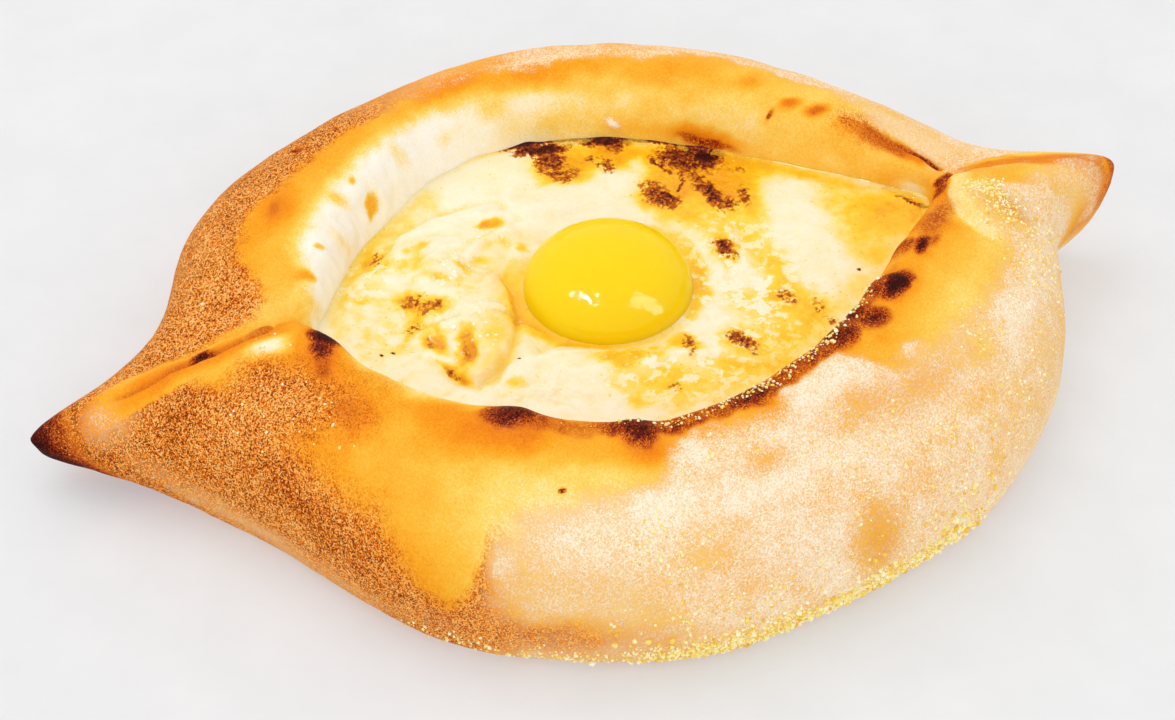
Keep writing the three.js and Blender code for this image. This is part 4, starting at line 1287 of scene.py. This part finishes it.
@dataclass
class Filling:
    """The cheese in the hollow, with the seat of the yolk."""

    form: LoafForm
    offset: Vector
    finish: MeltedCheese = field(default_factory=MeltedCheese)
    steps: int = 520
    surface_rings: int = 120
    seat_rings: int = 12
    edge_calm: float = 5.0
    seat_gap: float = 0.4
    seat_share: float = 0.985  # how much of the yolk's radius its seat has
    overlap: float = 0.35  # how far the cheese reaches into the bread
    crowding: float = 0.4
    # Butter and thin egg white gather round the yolk: how yellow they are and how far out they reach in
    # millimetres, by the angle round the yolk.
    pool_tone: Curve = (
        (0, 0.6), (24, 0.54), (48, 0.5), (72, 0.58), (86, 0.3), (98, 0.1), (122, 0.1), (144, 0.38),
        (168, 0.56), (192, 0.7), (216, 0.68), (240, 0.64), (264, 0.46), (288, 0.42), (312, 0.36),
        (336, 0.66),
    )  # fmt: skip
    pool_reach: Curve = (
        (0, 3.4), (24, 5.5), (48, 5.5), (72, 2.4), (98, 1.5), (122, 1.5), (144, 5), (168, 5), (192, 6.5),
        (216, 3.6), (240, 2), (312, 2), (336, 3.6),
    )  # fmt: skip

    toasted_and_shaded_edge: Band = (40, 47, 94, 100)  # where a dark line runs along the bread, by the angle: the cheese toasted there, and the shadow of the gap is painted into the same line
    # Small burnt flecks: their places, and the radius within which they are whole and where they end.
    flecks: tuple[tuple[float, float], ...] = ((-52.6, -9.1), (-49.8, -8.8), (65, -10.5), (-22.5, -21))
    fleck_radius: tuple[float, float] = (0.3, 0.55)

    @property
    def surface(self) -> slice:
        """The rings of the surface, between the three of the underside and those of the seat."""
        return slice(3, 4 + self.surface_rings)

    def build(self) -> bpy.types.Object:
        """Builds and dresses the cheese.

        Returns:
            The piece.
        """
        grid = TurnedGrid(self.steps, self.surface.stop + self.seat_rings)
        angle = grid.angles(self.crowding)
        direction = np.stack(heading(angle), axis=-1)
        yolk, seat_radius = np.array(PLAN_YOLK), EggYolk.radius * self.seat_share
        edge = (self.form.hollow_edge(angle) + self.overlap)[:, None] * direction
        seat = yolk + seat_radius * direction

        share = np.linspace(0, 1, self.surface_rings + 1)[None, :, None]
        flat = edge[:, None] * (1 - share) + seat[:, None] * share
        x, y = flat[..., 0], flat[..., 1]
        from_edge = np.linalg.norm(flat - edge[:, None], axis=-1)
        from_seat = np.linalg.norm(flat - yolk, axis=-1) - EggYolk.radius
        relief = self.relief(x, y, from_edge, from_seat)
        level = self.form.filling_level(y) + relief
        surface = np.stack([x, y, level], axis=-1)

        floor = self.form.hollow_floor + self.seat_gap
        pit = edge * self.form.pit_share
        below = [np.stack([pit[:, 0] * s, pit[:, 1] * s, np.full(self.steps, floor)], -1) for s in (0, 0.97)]
        side = np.stack([edge[:, 0] * 0.995, edge[:, 1] * 0.995, level[:, 0] - 2.0], -1)
        bowl = []
        for turn in np.linspace(0.12, 1, self.seat_rings):
            reach = math.cos(turn * math.pi / 2)
            depth = EggYolk.level - (EggYolk.below + self.seat_gap) * math.sin(turn * math.pi / 2)
            place = yolk + seat_radius * reach * direction
            bowl.append(np.column_stack([place, np.full(self.steps, depth)]))
        points = np.concatenate([np.stack([*below, side], 1), surface, np.stack(bowl, 1)], axis=1)
        # How far each point lies under its surroundings, which sets the painted shade in the hollows and the
        # painted light on the tops.
        dip = np.zeros(points.shape[:2])
        dip[:, self.surface] = blurred(blurred(relief, 4), 4) - relief
        channels = self.paint(points, from_edge, dip)
        return grid.piece("cheese_filling", points, channels, self.offset, self.finish.material())

    def relief(self, x: Array, y: Array, from_edge: Array, from_seat: Array) -> Array:
        """The curds, the skins of egg white and the toasted blisters.

        Args:
            x: the surface's places on the plan.
            y: the same, across.
            from_edge: their distance from the bread.
            from_seat: their distance from the yolk.

        Returns:
            The height over the filling's level.
        """
        flat = np.stack([x, y, np.zeros_like(x)], -1)
        height = sum(curd.value(x, y) for curd in CURDS) + sum(skin.value(x, y) for skin in SKINS)
        warp = np.stack([noise_at(flat, 12.0, 25), noise_at(flat, 12.0, 26), np.zeros_like(x)], -1)
        lumpy = smooth(2, -14, x) * smooth(45, 32, y)  # the egg white left of the yolk
        height += (0.35 + 0.60 * lumpy) * noise_at(flat + 5.0 * warp, 8.0, 21)
        height += (0.16 + 0.30 * lumpy) * noise_at(flat + 2.0 * warp, 3.6, 22)
        height += 0.08 * noise_at(flat, 1.7, 23)
        crease = np.abs(noise_at(flat * (1.0, 1.5, 1.0) + 7.0 * warp, 13.0, 27))
        height -= (0.06 + 0.22 * lumpy) * np.exp(-crease / 0.10)
        toast = paint_over(np.zeros_like(x), CHEESE_TOAST, Side.PLAN, x, y)
        height += toast * (0.35 + 0.5 * noise_at(flat, 2.2, 24))
        height *= smooth(0, self.edge_calm, from_edge) * smooth(-0.5, 3.0, from_seat)
        height += 0.9 * np.exp(-from_edge / 1.1) + 0.7 * np.exp(-np.maximum(from_seat, 0) / 1.3)
        height += 0.7 * noise_at(flat, 7.0, 28) * np.exp(-from_edge / 3.0)
        return height

    def paint(self, points: Array, from_edge: Array, dip: Array) -> dict[str, Array]:
        """Says where butter lies, where the cheese toasted and where the egg white is clear, with a painted
        shadow line along the far edge, painted shade in the hollows of the relief and painted light on its
        tops.

        Args:
            points: the filling's points by step and ring.
            from_edge: the surface's distance from the bread.
            dip: how far each point lies under what surrounds it, in millimetres, which sets the painted shade
                and light.

        Returns:
            The channels by name.
        """
        flat = points * (1, 1, 0)
        x = points[..., 0] + noises(flat, (0.9, 5.0, 31), (0.7, 2.2, 32))
        y = points[..., 1] + noises(flat, (0.9, 5.0, 33), (0.7, 2.2, 34))
        empty = np.zeros(x.shape)
        butter = paint_to(0.07 + 0.08 * noise_at(flat, 12.0, 35), CHEESE_BUTTER, Side.PLAN, x, y)
        toast = paint_over(empty, CHEESE_TOAST, Side.PLAN, x, y)
        web = paint_over(empty, CHEESE_WEB, Side.PLAN, x, y)
        clear = paint_over(empty, CHEESE_CLEAR, Side.PLAN, points[..., 0], points[..., 1])
        bubbly = paint_over(empty, CHEESE_BUBBLES, Side.PLAN, x, y)

        angle = np.degrees(np.arctan2(points[..., 1], points[..., 0])) % 360
        away = np.full(x.shape, np.inf)
        away[:, self.surface] = from_edge
        # Painted shadow: along the far edge a dark line is laid into the toast channel, partly for cheese
        # that toasted there and partly for the shadow in the gap at the bread.
        toast = np.maximum(toast, 0.9 * within(self.toasted_and_shaded_edge, angle) * smooth(1.6, 0.3, away))
        seep = (0.40 - 0.20 * smooth(98, 120, angle)) * smooth(165, 150, angle)
        butter = np.maximum(butter, seep * smooth(2.8, 0.4, away))
        dx, dy = x - PLAN_YOLK[0], y - PLAN_YOLK[1]
        turn = np.degrees(np.arctan2(dy, dx)) % 360
        pooled = smooth(2.4, -1.2, np.hypot(dx, dy) - EggYolk.radius - along_curve(self.pool_reach, turn))
        butter = np.maximum(butter, along_curve(self.pool_tone, turn) * pooled)
        whole, edge = self.fleck_radius
        for fleck in self.flecks:
            toast = np.maximum(toast, smooth(edge, whole, np.linalg.norm(points[..., :2] - fleck, axis=-1)))
        # Painted shade and light: the butter channel is made yellower where the relief dips and paler where
        # it stands up, so that hollows look shaded and tops look lit.
        butter = butter + np.clip(0.5 * dip, -0.12, 0.28) * smooth(0.5, 3.5, away)
        channels = {"butter": butter, "toast": toast, "web": web, "clear": clear, "bubbly": bubbly}
        return {name: np.clip(values, 0, 1) for name, values in channels.items()}


# ---- Yolk ---------------------------------------------------------------------------------------------


@dataclass(frozen=True)
class RawYolk:
    """Raw egg yolk in its own thin skin."""

    middle: str = "FFD60E"
    rim: str = "FFCE08"

    def material(self) -> bpy.types.Material:
        """Raw yolk: deep clear yellow under a wet skin that mirrors the windows."""
        material = new_material("raw_egg_yolk")
        mix = Mixer(material)
        cloud = mix.centred(mix.grain(7.0, 2.0, 0.5))
        colour = mix.ramp(mix.sum_of(mix.channel("rim"), (cloud, 0.2)), ((0.0, self.middle), (1.0, self.rim)))
        settings = {
            "Roughness": 0.4,
            "IOR": 1.4,
            "Specular IOR Level": 0.02,
            "Subsurface Weight": 0.4,
            "Subsurface Radius": (0.014, 0.0045, 0.0002),
            "Subsurface Scale": 1.0,
            "Coat Weight": 0.65,
            "Coat Roughness": 0.02,
            "Coat IOR": 1.34,
        }
        waves = mix.bump(mix.grain(3.4, 2.0, 0.6), 0.24)
        finish_surface(material, settings, Base_Color=colour, Coat_Normal=waves)
        return material


@dataclass
class EggYolk:
    """The raw yolk on the filling."""

    offset: Vector
    finish: RawYolk = field(default_factory=RawYolk)
    steps: int = 128
    rings: int = 61
    unevenness: float = 0.18

    # The filling's seat is shaped by these too: the widest line's radius and height, and half the thickness
    # above and below it.
    radius: ClassVar[float] = 20.4
    level: ClassVar[float] = 28.6
    above: ClassVar[float] = 12.5
    below: ClassVar[float] = 7.0

    def build(self) -> bpy.types.Object:
        """Builds and dresses the yolk.

        Returns:
            The piece.
        """
        grid = TurnedGrid(self.steps, self.rings)
        tilt = np.linspace(-np.pi / 2, np.pi / 2, self.rings)[None, :]
        cosine, sine = heading(grid.angles()[:, None])
        rise = np.sin(tilt) + 0 * sine
        reach = self.radius * np.cos(tilt)
        height = self.level + np.where(rise > 0, self.above, self.below) * rise
        points = np.stack([PLAN_YOLK[0] + reach * cosine, PLAN_YOLK[1] + reach * sine, height], axis=-1)
        points[..., 2] += self.unevenness * (noise_at(points, 15.0, 41) * np.clip(rise, 0, 1) - (rise > 0))
        channels = {"rim": smooth(0.45, 0.05, rise)}
        return grid.piece("egg_yolk", points, channels, self.offset, self.finish.material())


# ---- Butter and cornmeal ------------------------------------------------------------------------------


@dataclass(frozen=True)
class ClearButter:
    """Butter that melted and ran to the edge of the filling."""

    colour: str = "FFD640"

    def material(self) -> bpy.types.Material:
        """Melted butter: thin, yellow and very wet, so that the cheese shows through it."""
        material = new_material("melted_butter")
        mix = Mixer(material)
        settings = {
            "Base Color": linear(self.colour),
            "Roughness": 0.06,
            "IOR": 1.45,
            "Specular IOR Level": 0.4,
            "Alpha": 0.35,
        }
        finish_surface(material, settings, Normal=mix.bump(mix.grain(1.8, 2.0, 0.5), 0.35))
        return material


@dataclass
class MeltedButter:
    """A bead of melted butter along the bread, which widens to pools where the filling lies low."""

    form: LoafForm
    offset: Vector
    finish: ClearButter = field(default_factory=ClearButter)
    steps: int = 420
    overlap: float = 0.35  # how far the butter reaches into the bread
    crowding: float = 0.4
    # The section: shares of the pool's width inwards from the bread, and heights over the filling in mm.
    section: Line = (
        (-0.4, -0.9), (-0.4, 1.15), (0, 0.95), (0.1, 0.62), (0.24, 0.4), (0.45, 0.28), (0.7, 0.2),
        (0.9, 0.08), (1, -0.15), (0.9, -0.9),
    )  # fmt: skip
    # The pool's width in mm and how deep it has sunk, by the angle round the loaf.
    width: Curve = (
        (0, 3), (12, 3), (22, 3), (40, 2.8), (70, 2.6), (95, 2.2), (118, 2.8), (136, 3.6), (150, 3.2),
        (165, 2), (185, 2), (330, 2), (345, 3),
    )  # fmt: skip
    sunk: Curve = (
        (0, 0), (35, 0), (60, 0.1), (100, 0.1), (112, 0.6), (130, 0.7), (150, 0.7), (165, 0.7), (185, 1.2),
        (300, 1.2), (330, 0.3),
    )  # fmt: skip

    def build(self) -> bpy.types.Object:
        """Builds and dresses the butter.

        Returns:
            The piece.
        """
        grid = TurnedGrid(self.steps, len(self.section), hollow=True)
        angle = grid.angles(self.crowding)[:, None]
        cosine, sine = heading(angle)
        inward, height = (np.array(part)[None, :] for part in zip(*self.section))
        edge = self.form.hollow_edge(angle)
        ring = np.concatenate([edge * cosine, edge * sine, 0 * angle], -1)
        wide = along_curve(self.width, angle) * (1 + 0.45 * noise_at(ring, 7.0, 51)[:, None])
        into = np.where(inward < 0, inward, inward * wide)
        radius = edge + self.overlap - into
        sink = along_curve(self.sunk, angle) - 0.30 * noise_at(ring, 5.0, 52)[:, None]
        x, y = radius * cosine, radius * sine
        level = self.form.filling_level(y) + height - np.where(height > 0, sink, 0.6)
        points = np.stack([x, y, level], axis=-1)
        return grid.piece("melted_butter", points, {}, self.offset, self.finish.material())


@dataclass(frozen=True)
class YellowMeal:
    """Coarse maize meal, from the board the loaf was slid off."""

    tones: Stops = (
        (0, "FFFBE2"), (0.35, "FDF3B0"), (0.65, "FBE478"), (0.9, "F5CE4C"), (1, "EDBA44"),
    )  # fmt: skip

    def material(self) -> bpy.types.Material:
        """Cornmeal: hard yellow and white chips with a dull shine."""
        material = new_material("coarse_cornmeal")
        mix = Mixer(material)
        tone = mix.sum_of(mix.channel("tone"), (mix.centred(mix.grain(0.6, 1.0, 0.5)), 0.2))
        settings = {"Roughness": 0.6, "Specular IOR Level": 0.3}
        finish_surface(material, settings, Base_Color=mix.ramp(tone, self.tones))
        return material


@dataclass
class Cornmeal:
    """The grains of cornmeal on the crust, as one piece."""

    skin: tuple[Array, Array, Array]
    offset: Vector
    finish: YellowMeal = field(default_factory=YellowMeal)
    count: int = 3900
    coarse_count: int = 200
    fine: tuple[float, float] = (0.20, 0.52)  # the radii of the smallest and the largest grain
    coarse: tuple[float, float] = (0.55, 0.90)
    # Coarse grains cling to the side that faces the front, by the angle, and low down from the crest.
    coarse_round: Band = (252, 278, 302, 322)
    coarse_down: tuple[float, float] = (42, 60)
    fineness: float = 1.4  # above 1, small grains outnumber large ones
    sink: float = 0.35  # how deep they are pressed in
    seed: int = 5

    def build(self) -> bpy.types.Object:
        """Builds and dresses the grains.

        Returns:
            The piece.
        """
        draws = np.random.default_rng(self.seed)
        corners, faces = self.chips(draws, *self.scatter(draws))
        mesh = bpy.data.meshes.new("cornmeal")
        mesh.from_pydata(((corners.reshape(-1, 3) + np.array(self.offset)) * MM).tolist(), [], faces.tolist())
        tones = np.repeat(draws.random(len(corners)), corners.shape[1]).astype(np.float32)
        mesh.attributes.new("tone", "FLOAT", "POINT").data.foreach_set("value", tones)
        mesh.materials.append(self.finish.material())
        return put("cornmeal", mesh)

    def scatter(self, draws: np.random.Generator) -> tuple[Array, Array]:
        """Strews the grains over the skin, the denser the more meal lies there.

        Args:
            draws: where the random draws come from.

        Returns:
            The grains' middles and sizes in millimetres.
        """
        points, angle, down = self.skin
        stretch = np.cross(np.roll(points, -1, 0) - points, np.gradient(points, axis=1))
        room = np.linalg.norm(stretch, axis=-1) * (points[..., 2] > 0.8)
        fine = room * paint_over(np.zeros_like(down), MEAL, Side.WALL, angle, down)
        coarse = room * within(self.coarse_round, angle) * smooth(*self.coarse_down, down)

        places, sizes = [], []
        kinds = ((fine, self.count, self.fine), (coarse, self.coarse_count, self.coarse))
        for weight, count, (small, large) in kinds:
            chosen = draws.choice(weight.size, size=count, p=weight.ravel() / weight.sum())
            places.append(np.stack(np.unravel_index(chosen, weight.shape), -1))
            sizes.append(small + (large - small) * draws.random(count) ** self.fineness)
        step, ring = np.concatenate(places).T
        size = np.concatenate(sizes)[:, None]

        normals = grid_normals(points)[step, ring]
        share = draws.random((len(size), 2, 1))
        here, above = points[step, ring], points[step, np.minimum(ring + 1, points.shape[1] - 1)]
        beside = points[(step + 1) % len(points), ring]
        middle = here + share[:, 0] * (beside - here) + share[:, 1] * (above - here)
        middle = middle + normals * size * (1 - 2 * self.sink) * 0.5
        middle[:, 2] = np.maximum(middle[:, 2], size[:, 0] * 0.75)
        return middle, size

    def chips(self, draws: np.random.Generator, middle: Array, size: Array) -> tuple[Array, Array]:
        """Makes each grain an uneven chip, turned at random.

        Args:
            draws: where the random draws come from.
            middle: the grains' middles.
            size: their sizes.

        Returns:
            The corners of each grain, and the faces over all corners.
        """
        count = len(size)
        form = bmesh.new()
        bmesh.ops.create_icosphere(form, subdivisions=1, radius=1.0)
        ball = np.array([vertex.co for vertex in form.verts])
        faces = np.array([[vertex.index for vertex in face.verts] for face in form.faces])
        form.free()
        lump = ball[None] * (1 + 0.45 * (draws.random((count, len(ball), 1)) - 0.5))
        lump = lump * (0.65 + 0.5 * draws.random((count, 1, 3)))
        turns = np.linalg.qr(draws.normal(size=(count, 3, 3)))[0]
        lump = np.einsum("nij,nkj->nki", turns, lump) * size[:, :, None] + middle[:, None]
        flips = np.linalg.det(turns) < 0
        joined = faces[None] + (np.arange(count) * len(ball))[:, None, None]
        joined[flips] = joined[flips][..., ::-1]
        return lump, joined.reshape(-1, 3)


# Where the meal lies, by the angle and the millimetres down from the crest, densest at 1.
MEAL = patches(
    (274, 56, 15, 4, 1, 0.8), (296, 57, 18, 4, 0.9, 0.8), (245, 57, 20, 3, 0.16, 0.8),
    (276, 44, 16, 5, 0.12), (306, 46, 14, 6, 0.06), (322, 40, 16, 10, 0.05), (342, 38, 12, 8, 0.03),
    (331, 24, 4, 5, 0.16), (312, 32, 6, 4, 0.14), (265, 27, 8, 6, 0.12), (302, 24, 8, 12, 0.07),
    (280, 6, 8, 4, 0.1), (302, -5, 46, 1.8, 0.26, 0.7), (358.2, 13, 2.2, 4.5, 0.9, 0.6),
    (354.5, 19, 4, 6, 0.5, 0.8), (349, 30, 8, 8, 0.14), (203, 14, 10, 5, 0.02), (196, 24, 6, 6, 0.02),
    (171, 23, 3, 4, 0.03), (188, 9, 3, 8, 0.02),
)  # fmt: skip


# ---- Studio -------------------------------------------------------------------------------------------


@dataclass(frozen=True)
class Panel:
    """A rectangular soft light that faces the loaf, in metres and watts."""

    name: str
    place: tuple[float, float, float]
    size: tuple[float, float]
    power: float
    along: tuple[float, float, float] = (1, 0, 0)  # the heading of its long side
    mirrored: bool = True  # whether wet surfaces mirror it
    lights: bool = True  # whether it lights anything, apart from being mirrored


@dataclass
class Studio:
    """The floor, the soft light and the camera."""

    panels: tuple[Panel, ...] = (
        Panel("sky_panel", (-0.35, 0.75, 1.5), (1.5, 1.3), 8.2, mirrored=False),
        Panel("front_panel", (-0.3, -1.5, 0.8), (1.8, 1.0), 5.5, mirrored=False),
        Panel("window_left", (-0.459, -0.10, 1.03), (0.56, 0.06), 8.0, (-0.311, 0.322, -0.017), lights=False),
        Panel("window_right", (0.68, -0.48, 0.75), (0.95, 0.30), 9.0, (-0.3, 0.2, 0.3), lights=False),
    )
    lit: tuple[float, float, float] = (0, 0, 0.03)  # the point that the panels face
    eye: tuple[float, float, float] = (-105.807, -377.874, 410.87)
    aim: tuple[float, float, float] = (-2.055, 5.095, 0.0)
    lens: float = 70.0
    sensor: float = 36.0
    floor_size: float = 6.0
    air: float = 0.82
    glow: float = 0.33  # the floor is a light table, so that shadows on it stay pale

    def build(self) -> None:
        """Sets everything up."""
        self.floor()
        for panel in self.panels:
            self.light(panel)
        world = bpy.data.worlds.new("studio_air")
        bpy.context.scene.world = world
        world.use_nodes = True
        background = world.node_tree.nodes["Background"]
        background.inputs["Color"].default_value = linear("FFFDFA")
        background.inputs["Strength"].default_value = self.air
        bpy.context.scene.view_settings.view_transform = "Standard"
        self.camera()

    def floor(self) -> None:
        """Lays the pale floor."""
        form = bmesh.new()
        bmesh.ops.create_grid(form, x_segments=1, y_segments=1, size=self.floor_size / 2)
        mesh = bpy.data.meshes.new("floor")
        form.to_mesh(mesh)
        form.free()
        floor = put("floor", mesh)
        material = new_material("matt_painted_board")  # pale, dull, faintly brushed
        mix = Mixer(material)
        colour = mix.ramp(mix.grain(22.0, 5.0, 0.6), ((0.3, "B8B9B9"), (0.7, "BEBFBF")))
        glow = {"Roughness": 0.85, "Emission Color": linear("F5F6FC"), "Emission Strength": self.glow}
        finish_surface(material, glow, Base_Color=colour)
        mesh.materials.append(material)

    def light(self, panel: Panel) -> None:
        """Hangs up one panel."""
        lamp = bpy.data.lights.new(panel.name, "AREA")
        lamp.shape = "RECTANGLE"
        lamp.size, lamp.size_y = panel.size
        lamp.energy = panel.power
        holder = put(panel.name, lamp)
        back = (Vector(panel.place) - Vector(self.lit)).normalized()
        side = (Vector(panel.along) - back * back.dot(Vector(panel.along))).normalized()
        turn = Matrix((side, back.cross(side), back)).transposed().to_4x4()
        holder.matrix_world = Matrix.Translation(panel.place) @ turn
        holder.visible_glossy = panel.mirrored
        holder.visible_diffuse = holder.visible_transmission = panel.lights

    def camera(self) -> None:
        """Adds the camera at its place."""
        data = bpy.data.cameras.new("camera")
        data.lens, data.sensor_width = self.lens, self.sensor
        data.clip_start, data.clip_end = 0.01, 50.0
        camera = put("camera", data)
        eye, aim = Vector(self.eye) * MM, Vector(self.aim) * MM
        camera.location = eye
        camera.rotation_euler = (aim - eye).to_track_quat("-Z", "Y").to_euler()
        bpy.context.scene.camera = camera


# ---- The whole ----------------------------------------------------------------------------------------


def ride_as(piece: bpy.types.Object, slot: str, *nodes: str) -> None:
    """Ties a piece to the loaf's body, hides the CAD nodes it stands for and logs its faces.

    Args:
        piece: the finished piece.
        slot: not used.
        *nodes: the CAD nodes it stands for.
    """
    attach(piece, BODY)
    if nodes:
        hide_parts(*nodes)
    LOG.info("%s: %d faces", piece.name, len(piece.data.polygons))


def main() -> None:
    """Builds the loaf, its filling and the studio in order."""
    logging.basicConfig(level=logging.INFO, format="%(relativeCreated)6.0f ms %(message)s")
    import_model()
    low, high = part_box("yolk")
    middle = (low + high) / 2 / MM
    offset = Vector((middle.x - PLAN_YOLK[0], middle.y - PLAN_YOLK[1], 0))
    form = LoafForm()

    crust = Crust(form, offset)
    ride_as(crust.build(), "crust", "bread")
    ride_as(Cornmeal(crust.skin, offset).build(), "crust")
    ride_as(Filling(form, offset).build(), "filling", "cheese")
    ride_as(MeltedButter(form, offset).build(), "filling")
    ride_as(EggYolk(offset).build(), "yolk", "yolk")
    Studio().build()


if __name__ == "__main__":
    main()
